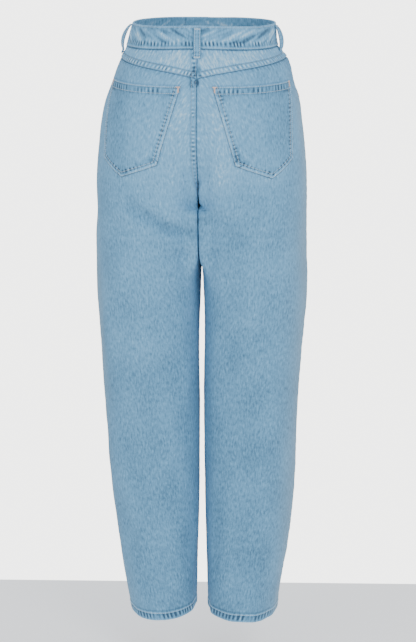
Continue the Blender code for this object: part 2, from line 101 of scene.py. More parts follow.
Section = namedtuple("Section", "z outer_left outer_right inner front back")
SECTIONS = [
    Section(0.000, 0.1160, 0.1239, 0.0000, 0.093, 0.091),
    Section(-0.018, 0.1211, 0.1251, 0.0000, 0.095, 0.093),
    Section(-0.040, 0.1282, 0.1292, 0.0000, 0.098, 0.098),
    Section(-0.061, 0.1390, 0.1445, 0.0000, 0.103, 0.106),
    Section(-0.098, 0.1510, 0.1560, 0.0000, 0.107, 0.114),
    Section(-0.132, 0.1640, 0.1660, 0.0000, 0.108, 0.120),
    Section(-0.168, 0.1715, 0.1705, 0.0000, 0.108, 0.124),
    Section(-0.208, 0.1755, 0.1750, 0.0000, 0.107, 0.125),
    Section(-0.269, 0.1805, 0.1785, 0.0002, 0.105, 0.116),
    Section(-0.339, 0.1835, 0.1785, 0.0006, 0.103, 0.106),
    Section(-0.407, 0.1811, 0.1781, 0.0012, 0.100, 0.099),
    Section(-0.511, 0.1780, 0.1759, 0.0051, 0.095, 0.090),
    Section(-0.620, 0.1707, 0.1687, 0.0063, 0.090, 0.083),
    Section(-0.693, 0.1672, 0.1642, 0.0073, 0.086, 0.080),
    Section(-0.824, 0.1549, 0.1580, 0.0085, 0.080, 0.078),
    Section(-0.910, 0.1431, 0.1503, 0.0093, 0.075, 0.076),
    Section(-0.980, 0.1332, 0.1394, 0.0102, 0.071, 0.075),
    Section(-1.040, 0.1241, 0.1314, 0.0115, 0.068, 0.073),
]

# Soft troughs from one place on the cloth to another. FOLDS are also in the solids.
FOLD_ARC = 0.25
FOLD_HOLD = 0.06
Fold = namedtuple("Fold", "side w0 z0 w1 z1 width depth")
FOLDS = [
    Fold(1, 1.50, -0.284, 1.70, -0.346, 0.013, 0.0040),
    Fold(1, 1.60, -0.334, 1.93, -0.352, 0.012, 0.0045),
    Fold(-1, 1.60, -0.326, 1.97, -0.311, 0.013, 0.0045),
    Fold(-1, 1.50, -0.352, 1.84, -0.340, 0.014, 0.0025),
    Fold(1, 1.10, -0.382, 1.16, -0.653, 0.018, 0.0030),
    Fold(-1, 1.12, -0.330, 1.08, -0.568, 0.018, 0.0030),
    Fold(-1, 1.25, -0.511, 1.75, -0.537, 0.022, 0.0025),
    Fold(1, 1.30, -0.600, 1.80, -0.568, 0.022, 0.0025),
    Fold(1, 0.10, -0.296, 0.60, -0.232, 0.015, 0.0024),
    Fold(-1, 0.10, -0.290, 0.56, -0.238, 0.015, 0.0026),
    Fold(1, 0.16, -0.330, 0.66, -0.372, 0.018, 0.0022),
    Fold(-1, 0.18, -0.342, 0.70, -0.372, 0.018, 0.0022),
    Fold(1, 0.20, -0.589, 0.75, -0.568, 0.022, 0.0025),
    Fold(-1, 0.25, -0.568, 0.80, -0.600, 0.022, 0.0025),
    Fold(1, 0.20, -0.936, 0.80, -0.958, 0.022, 0.0025),
    Fold(-1, 0.15, -0.963, 0.75, -0.936, 0.022, 0.0025),
]
CREASES = [
    Fold(1, 1.52, -0.392, 1.88, -0.374, 0.010, 0.0012),
    Fold(-1, 1.58, -0.372, 1.90, -0.388, 0.010, 0.0011),
    Fold(1, 1.44, -0.420, 1.38, -0.560, 0.014, 0.0012),
    Fold(1, 1.66, -0.455, 1.72, -0.640, 0.012, 0.0010),
    Fold(-1, 1.38, -0.400, 1.44, -0.530, 0.013, 0.0011),
    Fold(-1, 1.70, -0.470, 1.62, -0.610, 0.012, 0.0010),
    Fold(1, 1.34, -0.690, 1.42, -0.850, 0.015, 0.0011),
    Fold(1, 1.70, -0.720, 1.62, -0.900, 0.013, 0.0009),
    Fold(-1, 1.36, -0.670, 1.30, -0.830, 0.014, 0.0010),
    Fold(-1, 1.66, -0.740, 1.74, -0.930, 0.013, 0.0010),
    Fold(1, 1.30, -0.962, 1.58, -0.980, 0.011, 0.0009),
    Fold(-1, 1.42, -0.990, 1.74, -0.968, 0.012, 0.0009),
    Fold(1, 0.34, -0.420, 0.42, -0.545, 0.013, 0.0011),
    Fold(-1, 0.60, -0.400, 0.54, -0.540, 0.014, 0.0010),
    Fold(1, 0.62, -0.660, 0.56, -0.840, 0.014, 0.0011),
    Fold(-1, 0.36, -0.640, 0.44, -0.800, 0.013, 0.0010),
    Fold(1, 0.12, -0.262, 0.44, -0.222, 0.010, 0.0012),
    Fold(-1, 0.10, -0.254, 0.40, -0.206, 0.010, 0.0013),
    Fold(1, 0.62, -0.172, 0.84, -0.148, 0.011, 0.0009),
    Fold(-1, 0.58, -0.160, 0.80, -0.142, 0.011, 0.0008),
    Fold(-1, 0.40, -0.880, 0.74, -0.900, 0.014, 0.0012),
    Fold(1, 0.30, -0.985, 0.62, -0.972, 0.011, 0.0009),
    Fold(-1, 1.925, -0.180, 1.945, -0.262, 0.011, 0.0013),
    Fold(1, 1.930, -0.205, 1.950, -0.262, 0.009, 0.0007),
    Fold(1, 1.40, -0.292, 1.58, -0.322, 0.010, 0.0013),
    Fold(-1, 1.46, -0.312, 1.66, -0.330, 0.012, 0.0010),
]

Full = namedtuple("Full", "side w z tall amount")
FULLNESS = [
    Full(1, 1, -0.060, 0.020, -0.0022),
    Full(-1, 1, -0.060, 0.020, 0.0012),
    Full(1, 1, -0.318, 0.040, -0.0040),
    Full(-1, 1, -0.450, 0.060, 0.0042),
    Full(1, 1, -0.850, 0.120, 0.0030),
    Full(-1, 1, -0.740, 0.110, 0.0024),
    Full(1, 0, -0.780, 0.160, 0.0036),
    Full(-1, 0, -0.740, 0.170, 0.0034),
]

# Darker spots, mostly where less of the dye is washed out; the two yoke spots at the foot of the centre
# back belt loop are painted shade.
Spot = namedtuple("Spot", "piece side w z wide tall strength")
SPOTS = [
    Spot("pocket", -1, 1.740, -0.212, 0.0080, 0.0070, 0.95),
    Spot("pocket", -1, 1.752, -0.198, 0.0040, 0.0060, 0.80),
    Spot("pocket", -1, 1.700, -0.221, 0.0080, 0.0040, 0.70),
    Spot("pocket", -1, 1.842, -0.106, 0.0060, 0.0040, 0.85),
    Spot("pocket", -1, 1.815, -0.116, 0.0070, 0.0040, 0.60),
    Spot("pocket", -1, 1.838, -0.131, 0.0035, 0.0080, 0.60),
    Spot("pocket", 1, 1.715, -0.216, 0.0060, 0.0040, 0.70),
    Spot("pocket", 1, 1.640, -0.224, 0.0090, 0.0030, 0.50),
    Spot("pocket", 1, 1.540, -0.240, 0.0060, 0.0040, 0.60),
    Spot("pocket", 1, 1.860, -0.112, 0.0050, 0.0035, 0.50),
    Spot("yoke", 1, 1.985, -0.070, 0.0060, 0.0070, 1.50),
    Spot("yoke", -1, 1.988, -0.070, 0.0055, 0.0065, 1.30),
    Spot("yoke", 1, 1.960, -0.078, 0.0100, 0.0030, 1.30),
    Spot("yoke", -1, 1.975, -0.079, 0.0060, 0.0028, 1.10),
    # Painted shade round the foot of the centre back belt loop
    Spot("yoke", 1, 1.962, -0.049, 0.0060, 0.0045, 0.80),
    Spot("yoke", -1, 1.966, -0.048, 0.0050, 0.0040, 0.70),
    Spot("back", 1, 1.964, -0.088, 0.0022, 0.0060, 1.70),
    Spot("back", 1, 1.990, -0.089, 0.0032, 0.0065, 1.70),
    Spot("back", -1, 1.990, -0.089, 0.0024, 0.0065, 1.60),
    Spot("back", 1, 1.975, -0.094, 0.0055, 0.0020, 1.50),
    Spot("back", 1, 1.985, -0.240, 0.0025, 0.0200, 0.35),
]

# Back pockets: corners by the way round from the centre back seam, and the height
Corner = namedtuple("Corner", "across z")
POCKET_CORNERS = [
    Corner(0.0257, -0.0947),
    Corner(0.1820, -0.0920),
    Corner(0.1775, -0.2185),
    Corner(0.1300, -0.2485),
    Corner(0.0657, -0.2257),
]

Loop = namedtuple("Loop", "name side w slack twist")
LOOPS = [
    Loop("belt_loop_back", 1, 2.0, 0.0022, 0.03),
    Loop("belt_loop_side_left", 1, 1.08, 0.0058, 0.42),
    Loop("belt_loop_side_right", -1, 1.08, 0.0046, -0.42),
    Loop("belt_loop_front_left", 1, 0.42, 0.0028, -0.05),
    Loop("belt_loop_front_right", -1, 0.42, 0.0024, 0.04),
]

# Sewing
PINCH = (np.array([0.0, -0.300]), np.array([0.018, -0.311]))  # a short crease by the crotch
FELL = 0.0095  # width of a felled seam
ROW_NEAR = 0.0018  # of a double row of stitches, from its edge
ROW_FAR = 0.0080
ROWS = (ROW_NEAR, ROW_FAR)
SIDES = ((1, "left"), (-1, "right"))
ON_PATCH = GAP + PATCH_WALL  # from a panel to the outside of what lies on it
STITCH_LIFT = 0.0006  # of a row's path over the cloth, before each stitch is set down on it
HEM_ROW_Z = HEM_Z + HEM_DEPTH - 0.0028
STITCH_PITCH = 0.0034
STITCH_LENGTH = 0.0027
THREAD_RADIUS = 0.00036
TACK_RADIUS = 0.00034
PATH_STEP = 0.0004
STRIP_OFFSETS = [-0.0060, -0.0040, -0.0020, 0.0, 0.0020, 0.0040, 0.0060]
STRIP_WALL = 0.0008
STRIP_DROP = 0.0002  # from a panel's inside to the strip behind its seam


def eased(share):
    """From 0 to 1 with level ends."""
    share = np.clip(share, 0, 1)
    return share**2 * (3 - 2 * share)


def bell(x, middle, reach):
    """A bump of height 1 about its middle."""
    return np.exp(-(((x - middle) / reach) ** 2))


def unit(vectors):
    """The same directions, with a length of 1."""
    return vectors / np.linalg.norm(vectors, axis=-1, keepdims=True)


def lengths_along(path):
    """How far along a polyline each of its points lies."""
    return np.concatenate([[0], np.cumsum(np.linalg.norm(np.diff(path, axis=0), axis=1))])


def distance_to(points, edge):
    """How far each point of a grid lies from the nearest point of an edge."""
    return np.linalg.norm(points[:, :, None] - edge[None, None], axis=3).min(axis=2)


def yoke_seam(shares):
    """Heights of the seam under a yoke, by shares of the way from the side to the centre back."""
    return YOKE_SIDE_Z + (YOKE_BACK_Z - YOKE_SIDE_Z) * shares**YOKE_DIP_POWER


def column(name, z):
    """A column of the section table at height z, on a smooth curve through its rows."""
    heights = np.array([row.z for row in SECTIONS])[::-1]
    values = np.array([getattr(row, name) for row in SECTIONS])[::-1]
    slopes = np.gradient(values, heights)
    i = np.clip(np.searchsorted(heights, z, side="right") - 1, 0, len(heights) - 2)
    step = heights[i + 1] - heights[i]
    t = np.clip((z - heights[i]) / step, 0.0, 1.0)
    return (
        values[i] * (1 + 2 * t) * (1 - t) ** 2
        + slopes[i] * step * t * (1 - t) ** 2
        + values[i + 1] * t**2 * (3 - 2 * t)
        + slopes[i + 1] * step * t**2 * (t - 1)
    )


def section_shapes(z, side):
    """The measures of the half section at each height. Each is a row, so that they index alike."""
    outer = column("outer_left" if side > 0 else "outer_right", z)
    inner = np.maximum(column("inner", z), HALF_GAP)
    down = np.clip((RISE_TOP_Z - z) / (RISE_TOP_Z - CROTCH_Z), 0.0, 1.0)
    reach_front = np.sqrt(1 - down**RISE_FRONT_POWER)
    reach_back = np.sqrt(1 - down**RISE_BACK_POWER)
    peak = PEAK_WAIST + (PEAK_LEG - PEAK_WAIST) * np.clip(z / CROTCH_Z, 0.0, 1.0) ** 0.5
    peak_x = inner + peak * (outer - inner)
    from_crotch = np.where(z > CROTCH_Z, CLEFT_TOP_Z - z, z - CLEFT_FOOT_Z)
    span = np.where(z > CROTCH_Z, CLEFT_TOP_Z - CROTCH_Z, CROTCH_Z - CLEFT_FOOT_Z)
    inner_power = POWER + (CLEFT_POWER - POWER) * eased(from_crotch / span)
    front, back = -column("front", z), column("back", z)
    return np.array([inner, outer, peak_x, front, back, reach_front, reach_back, inner_power])


def section_points(shapes, quarter, t):
    """Points on half sections, at +X. Quarters 0 to 3 run from the inner front to the inner back."""
    inner, outer, peak_x, front, back, reach_front, reach_back, inner_power = shapes
    inside = (quarter == 0) | (quarter == 3)
    power = np.where(inside, inner_power, POWER)
    reach = np.where(quarter == 0, reach_front, np.where(quarter == 3, reach_back, 0.0))
    share = np.where((quarter == 0) | (quarter == 2), 1 - t, t)
    even = share ** (power / 2)
    even = even / (even + (1 - share) ** (power / 2))
    whole_turn = np.maximum(np.arccos(reach ** (power / 2)), SMALL_TURN)
    turn = even * whole_turn
    run = (np.sin(turn) / np.sin(whole_turn)) ** (2 / power)
    rise = np.cos(turn) ** (2 / power)
    end_x = np.where(inside, inner, outer)
    end_y = np.where(inside, INSEAM_Y, SIDE_SEAM_Y)
    peak_y = np.where(quarter < 2, front, back)
    return np.stack([peak_x + (end_x - peak_x) * run, end_y + (peak_y - end_y) * rise], axis=-1)


def section_lengths(shapes):
    """How far along each section its samples lie."""
    samples = np.arange(4 * ARC_SAMPLES + 1)
    quarter = np.minimum(samples // ARC_SAMPLES, 3)
    t = samples / ARC_SAMPLES - quarter
    points = section_points(shapes[:, :, None], quarter, t)
    steps = np.linalg.norm(np.diff(points, axis=1), axis=2)
    return np.concatenate([np.zeros((len(steps), 1)), np.cumsum(steps, axis=1)], axis=1)


def arcs(z, side):
    """(front, back): the way round from the centre front to the side seam, and on to the back."""
    along = section_lengths(section_shapes(np.atleast_1d(np.asarray(z, float)), side))
    front, whole = along[:, 2 * ARC_SAMPLES], along[:, -1]
    return (front[0], whole[0] - front[0]) if np.ndim(z) == 0 else (front, whole - front)


def places(z, w, side):
    """(quarter, t) on the sections, for flat arrays of heights and ways round."""
    shapes = section_shapes(z, side)
    along = section_lengths(shapes)
    first, half, third = (along[:, k * ARC_SAMPLES] for k in (1, 2, 3))
    whole = along[:, -1]
    from_seam = np.where(w < 1, w, 2 - w)
    inner = np.where(w < 1, first, whole - third)
    outer = np.where(w < 1, half - first, third - half)
    straight = shapes[2] - shapes[0]
    leg = eased((EVEN_FOOT_Z - z) / (EVEN_FOOT_Z - LEG_TOP_Z))
    peak_way = straight / (straight + outer) * (1 - leg) + 0.5 * leg
    wanted = np.where(
        from_seam < peak_way,
        from_seam / peak_way * inner,
        inner + (from_seam - peak_way) / (1 - peak_way) * outer,
    )
    wanted = np.clip(np.where(w < 1, wanted, whole - wanted), 0.0, whole)
    i = np.clip((along <= wanted[:, None]).sum(axis=1) - 1, 0, 4 * ARC_SAMPLES - 1)
    rows = np.arange(len(z))
    t = i + (wanted - along[rows, i]) / (along[rows, i + 1] - along[rows, i])
    quarter = np.minimum(i // ARC_SAMPLES, 3)
    return quarter, np.clip(t / ARC_SAMPLES - quarter, 0, 1)


def base_points(z, quarter, t, side):
    """Points of the smooth surface, at +X."""
    return np.column_stack([section_points(section_shapes(z, side), quarter, t), z])


def fold_depth(folds, z, w, side):
    """How far the folds press the surface in: each a trough with a low ridge on both sides."""
    total = np.zeros_like(z)
    for fold in folds:
        if fold.side != side:
            continue
        start = np.array([fold.w0 * FOLD_ARC, fold.z0])
        run = np.array([fold.w1 * FOLD_ARC, fold.z1]) - start
        length = np.linalg.norm(run)
        from_start = np.stack([w * FOLD_ARC, z], axis=-1) - start
        along = from_start @ run / length**2
        off = (from_start[..., 0] * run[1] - from_start[..., 1] * run[0]) / length / fold.width
        ends = np.clip(1 - (2 * along - 1) ** 2, 0.0, 1.0) ** 0.75
        total += fold.depth * ends * (1 - off**2) * np.exp(-(off**2) / 2)
    return total * np.clip(np.minimum(w, 2 - w) / FOLD_HOLD, 0, 1)


def surface(z, w, side):
    """(points, ways out) for arrays of heights and ways round, of any one shape."""
    z, w = np.broadcast_arrays(np.asarray(z, float), np.asarray(w, float))
    shape = z.shape
    z, w = z.ravel(), w.ravel()
    quarter, t = places(z, w, side)
    points = base_points(z, quarter, t, side)
    t_low, t_high = np.clip(t - SMALL_T, 0, 1), np.clip(t + SMALL_T, 0, 1)
    round_it = base_points(z, quarter, t_high, side) - base_points(z, quarter, t_low, side)
    up = base_points(z + SMALL_Z, quarter, t, side) - base_points(z - SMALL_Z, quarter, t, side)
    out = unit(np.cross(round_it, up))
    points -= out * fold_depth(FOLDS, z, w, side)[:, None]
    mirror = np.array([side, 1, 1])
    return (points * mirror).reshape(*shape, 3), (out * mirror).reshape(*shape, 3)


def ripples(x, y, seed, wave_x, wave_y, count=9):
    """Smooth unevenness of about -1 to 1, from a sum of waves of about those lengths."""
    chance = np.random.default_rng(seed)
    total = np.zeros(np.broadcast(x, y).shape)
    for _ in range(count):
        turn = chance.uniform(0, 2 * math.pi)
        length = chance.uniform(0.7, 1.6)
        shift = chance.uniform(0, 2 * math.pi)
        way = (math.cos(turn) * x / wave_x + math.sin(turn) * y / wave_y) / length
        total += np.sin(2 * math.pi * way + shift)
    return total / math.sqrt(count / 2) / 1.5


def fullness(z, w, side):
    """Where the cloth stands fuller or flatter than the solids at the side and the inside leg."""
    total = np.zeros_like(z)
    for full in FULLNESS:
        if full.side == side:
            off = np.abs(w - full.w)
            off = np.minimum(off, 2 - off)
            near = np.exp(-((off / 0.32) ** 2) - ((z - full.z) / full.tall) ** 2)
            total += full.amount * near
    return total


def relief(z, w, side):
    """How far the cloth stands out from the smooth surface: creases and slow waves."""
    x = (w - 1) * FOLD_ARC
    leg = eased((-0.25 - z) / 0.15)
    slow = ripples(x, z, 11 + side, 0.055, 0.20) * (0.0004 + 0.0007 * leg)
    small = ripples(x, z, 31 + side, 0.018, 0.045) * (0.00012 + 0.00016 * leg)
    held = np.clip(np.minimum(w, 2 - w) / FOLD_HOLD, 0, 1)
    band = eased((-0.036 - z) / 0.03)
    thigh = bell(w, 1.775, 0.055)
    thigh = 0.0035 * thigh * eased((-0.284 - z) / 0.020) * eased((z + 0.46) / 0.10)
    by_cleft = 0.8 * fold_depth(FOLDS, z, w, side) * eased((w - 1.68) / 0.08)
    full = fullness(z, w, side) + thigh
    waves = (slow + small) * held * band
    return waves - fold_depth(CREASES, z, w, side) + full + by_cleft


def lift(z, w):
    """How much higher than the solids the cloth lies: at the back of the waist and by the hems."""
    waist = eased((z + 0.100) / 0.060) * bell(w, 2, 0.42)
    hem = eased((-0.86 - z) / 0.16)
    inner = bell(np.minimum(w, 2 - w), 0, 0.34)
    outer = bell(w, 1, 0.30)
    return 0.0030 * waist + hem * (0.0085 * inner + 0.0035 * outer)


def placed(z, w, side):
    """(points, ways out) of the smooth cloth."""
    z, w = np.broadcast_arrays(np.asarray(z, float), np.asarray(w, float))
    return surface(z + lift(z, w), w, side)


def cloth(z, w, side):
    """(points, ways out) of the creased cloth."""
    points, out = placed(z, w, side)
    z, w = np.broadcast_arrays(np.asarray(z, float), np.asarray(w, float))
    points = points + out * relief(z, w, side)[..., None]
    inward = np.clip(-out[..., 0] * side, 0.0, 1.0)
    from_plane = np.clip(points[..., 0] * side - HALF_GAP, 0.0, None)
    low = eased((-0.298 - z) / 0.014)
    share = eased((0.017 + 0.006 * low - from_plane) / 0.010) * eased((inward - 0.25) / 0.3)
    share = share * (0.85 + 0.10 * low) * eased((-0.246 - z) / 0.030) * eased((z + 0.440) / 0.060)
    return points + out * (share * from_plane / np.maximum(inward, 0.4))[..., None], out


class Finish:
    """What the sewing does to the cloth at each point of a grid, gathered seam by seam.

    out is how far it moves the surface, and VALUES are what the denim's material reads.
    """

    VALUES = ("phase", "dash", "pale", "dark", "fade", "grey")

    def __init__(self, shape):
        self.out = np.zeros(shape)
        for name in self.VALUES:
            setattr(self, name, np.zeros(shape))

    def bright(self, off, place, reach, strength):
        """A thin pale line along a seam or an edge."""
        self.pale = np.maximum(self.pale, strength * bell(off, place, reach))

    def line(self, off, place, reach, strength):
        """A thin dark line along a seam."""
        self.dark = np.maximum(self.dark, strength * bell(off, place, reach))

    def spots(self, piece, z, w, side):
        """The darker spots of this piece, with ragged edges."""
        x = w * FOLD_ARC * 1.1
        for spot in SPOTS:
            if (spot.piece, spot.side) == (piece, side):
                off_x = (x - spot.w * FOLD_ARC * 1.1) / spot.wide
                off_z = (z - spot.z) / spot.tall
                ragged = 0.45 * ripples(x, z, int(1e4 * spot.w), 0.005, 0.006)
                spot_dark = np.exp(-np.clip(off_x**2 + off_z**2 + ragged, 0, 9) ** 1.3)
                self.dark = np.maximum(self.dark, spot.strength * spot_dark)

    def groove(self, off, depth=0.0009, reach=0.0011):
        """The cloth turns in where it meets the next piece."""
        press = bell(off, 0, reach)
        self.out -= depth * press
        self.dark = np.maximum(self.dark, 0.8 * press)

    def ridge(self, off, width, height):
        """A band that stands out by its extra layers, from its edge to its width."""
        inside = eased(off / 0.0009) * eased((width + 0.0004 - off) / 0.0009)
        self.out += height * inside
        edge = bell(off, 0.0008, 0.0009)
        far = bell(off, width, 0.0008)
        self.pale = np.maximum(self.pale, 0.55 * edge)
        self.dark = np.maximum(self.dark, 0.35 * far)

    def pucker(self, off, along, middle, reach, height, wave, seed, strength=1.0, slant=0.0):
        """Uneven dimples that the stitches draw in along a seam."""
        phase = 2 * math.pi * along / wave + 1.5 * ripples(along, 0, seed, 5 * wave, 1.0)
        phase = phase + slant * off / wave
        weight = bell(off, middle, reach)
        uneven = np.clip(0.72 + 0.45 * ripples(along, 0, seed + 1, 4 * wave, 1.0), 0.15, 1.2)
        weight = weight * uneven
        self.out += height * np.sin(phase) * weight
        # dash and phase also tint the denim: partly dye held in the puckers, partly painted shade in the
        # dimples and painted highlight on the crests
        stronger = weight * strength > self.dash
        self.phase = np.where(stronger, phase, self.phase)
        self.dash = np.where(stronger, weight * strength, self.dash)

    def row(self, off, place, strength=0.35):
        """The shallow channel that a row of stitches lies in."""
        channel = bell(off, place, 0.0007)
        self.out -= 0.00022 * channel
        self.dark = np.maximum(self.dark, strength * channel)

    def double_row(self, off):
        self.row(off, ROW_NEAR)
        self.row(off, ROW_FAR)


def spread(length, step, fine=0.0008, grow=1.22, start=True, end=True):
    """Places from 0 to length, denser towards the ends that are asked for."""
    steps = []
    size = fine
    while size < step:
        steps.append(size)
        size *= grow
    edge = np.concatenate([[0], np.cumsum(steps) if steps else [0.0]])
    low = edge if start else np.array([0.0])
    high = length - edge[::-1] if end else np.array([length])
    count = max(2, int(round((high[0] - low[-1]) / step)) + 1)
    middle = np.linspace(low[-1], high[0], count)[1:-1]
    return np.concatenate([low, middle, high])


def distances(points):
    """(from the first column, from the last, from the first row, from the last) along the grid."""
    across = np.linalg.norm(np.diff(points, axis=1), axis=2)
    across = np.concatenate([np.zeros((len(points), 1)), np.cumsum(across, axis=1)], axis=1)
    down = np.linalg.norm(np.diff(points, axis=0), axis=2)
    down = np.concatenate([np.zeros((1, points.shape[1])), np.cumsum(down, axis=0)])
    return across, across[:, -1:] - across, down, down[-1:] - down


def grid_faces(rows, columns, start=0, flip=False, closed=False):
    """Quads of a grid of vertices that is numbered row by row."""
    i, j = np.meshgrid(np.arange(rows - (not closed)), np.arange(columns - 1), indexing="ij")
    i, j = i.ravel(), j.ravel()
    below = (i + 1) % rows
    quads = np.stack([i, below, below, i], 1) * columns + np.stack([j, j, j + 1, j + 1], 1) + start
    return quads[:, ::-1] if flip else quads


def build(name, verts, quads, uv, attributes, materials, slots=None):
    """A smooth-shaded mesh object with metric UVs and named values at its points."""
    mesh = bpy.data.meshes.new(name)
    mesh.vertices.add(len(verts))
    mesh.vertices.foreach_set("co", np.asarray(verts, np.float32).ravel())
    mesh.loops.add(quads.size)
    mesh.loops.foreach_set("vertex_index", quads.ravel().astype(np.int32))
    mesh.polygons.add(len(quads))
    mesh.polygons.foreach_set("loop_start", np.arange(len(quads), dtype=np.int32) * 4)
    mesh.update(calc_edges=True)
    mesh.polygons.foreach_set("use_smooth", np.ones(len(quads), bool))
    if uv is not None:
        layer = mesh.uv_layers.new(name="cloth")
        layer.data.foreach_set("uv", uv[quads.ravel()].astype(np.float32).ravel())
    for key, values in attributes.items():
        layer = mesh.attributes.new(key, "FLOAT", "POINT")
        layer.data.foreach_set("value", np.asarray(values, np.float32))
    for finish in materials:
        mesh.materials.append(finish)
    if slots is not None:
        mesh.polygons.foreach_set("material_index", slots.astype(np.int32))
    mesh.validate()
    obj = bpy.data.objects.new(name, mesh)
    bpy.context.scene.collection.objects.link(obj)
    return obj


def shell(name, points, ways_out, finish, outside, thickness, flip, warp=None):
    """A closed thin wall on a grid: its outer face carries the sewing, its inner one is plainer.

    outside is how far the outer face lies from the grid's points. warp is what stays the same
    along a thread of the warp, in metres.
    """
    rows, columns = points.shape[:2]
    outer = points + ways_out * (outside + finish.out)[..., None]
    plain = outside + np.minimum(finish.out, 0.0) * 0.8 + np.maximum(finish.out, 0.0) * 0.2
    inner = points + ways_out * (plain - thickness)[..., None]
    verts = np.concatenate([outer.reshape(-1, 3), inner.reshape(-1, 3)])
    count = rows * columns
    front = grid_faces(rows, columns, 0, flip)
    back = grid_faces(rows, columns, count, not flip)
    ring = np.concatenate(
        [
            np.arange(columns),
            np.arange(1, rows) * columns + columns - 1,
            (rows - 1) * columns + np.arange(columns - 2, -1, -1),
            np.arange(rows - 2, 0, -1) * columns,
        ]
    )
    after = np.roll(ring, -1)
    rim = np.stack([ring, after, after + count, ring + count], 1)
    rim = rim[:, ::-1] if flip else rim
    quads = np.concatenate([front, back, rim])
    slots = np.concatenate([np.zeros(len(front)), np.ones(len(back)), np.zeros(len(rim))])
    across = distances(points)[0]
    warp = across - across[:, columns // 2][:, None] if warp is None else warp
    uv = np.stack([warp, points[..., 2]], axis=-1).reshape(-1, 2)
    finish.fade = np.broadcast_to(finish.fade, (rows, columns))
    attributes = {key: np.tile(np.ravel(getattr(finish, key)), 2) for key in finish.VALUES}
    return build(name, verts, quads, np.tile(uv, (2, 1)), attributes, CLOTH, slots)


def link(tree, socket, value):
    if isinstance(value, bpy.types.NodeSocket):
        tree.links.new(value, socket)
    else:
        socket.default_value = value


def calc(tree, operation, *values):
    """The result of a Math node."""
    made = tree.nodes.new("ShaderNodeMath")
    made.operation = operation
    for socket, value in zip(made.inputs, values):
        link(tree, socket, value)
    return made.outputs[0]


def times(tree, a, b):
    return calc(tree, "MULTIPLY", a, b)


def total(tree, *values):
    """The sum of two or more values."""
    made = values[0]
    for value in values[1:]:
        made = calc(tree, "ADD", made, value)
    return made


def mixed(tree, share, a, b):
    """The result of a colour Mix node, whose colour sockets are the seventh and the eighth."""
    made = tree.nodes.new("ShaderNodeMix")
    made.data_type = "RGBA"
    link(tree, made.inputs["Factor"], share)
    link(tree, made.inputs[6], a)
    link(tree, made.inputs[7], b)
    return made.outputs[2]


def settings(node, values):
    for name, value in values.items():
        node.inputs[name].default_value = value


def stretched(tree, source, scale):
    made = tree.nodes.new("ShaderNodeMapping")
    tree.links.new(source, made.inputs["Vector"])
    made.inputs["Scale"].default_value = scale
    return made.outputs[0]


def noise(tree, vector, scale, detail=2.0, rough=0.5):
    """A Noise node's value, about 0.5."""
    made = tree.nodes.new("ShaderNodeTexNoise")
    tree.links.new(vector, made.inputs["Vector"])
    settings(made, {"Scale": scale, "Detail": detail, "Roughness": rough})
    return made.outputs["Fac"]


def swing(tree, value, size):
    """A value of about 0.5 as a change of about zero, of that size."""
    return times(tree, calc(tree, "SUBTRACT", value, 0.5), size)


def attribute(tree, name):
    made = tree.nodes.new("ShaderNodeAttribute")
    made.attribute_name = name
    return made.outputs["Fac"]


def new_material(name):
    made = bpy.data.materials.new(name)
    made.use_nodes = True
    return made, made.node_tree, made.node_tree.nodes["Principled BSDF"]


def bumped(tree, shader, height, strength, distance):
    made = tree.nodes.new("ShaderNodeBump")
    settings(made, {"Strength": strength, "Distance": distance})
    tree.links.new(height, made.inputs["Height"])
    tree.links.new(made.outputs[0], shader.inputs["Normal"])


TWILL_PITCH = 0.0009
# The tone the cloth turns towards by the side seams: painted sheen and shade at the legs' edges
EDGE_SHEEN_GREY = (0.33, 0.40, 0.44, 1)


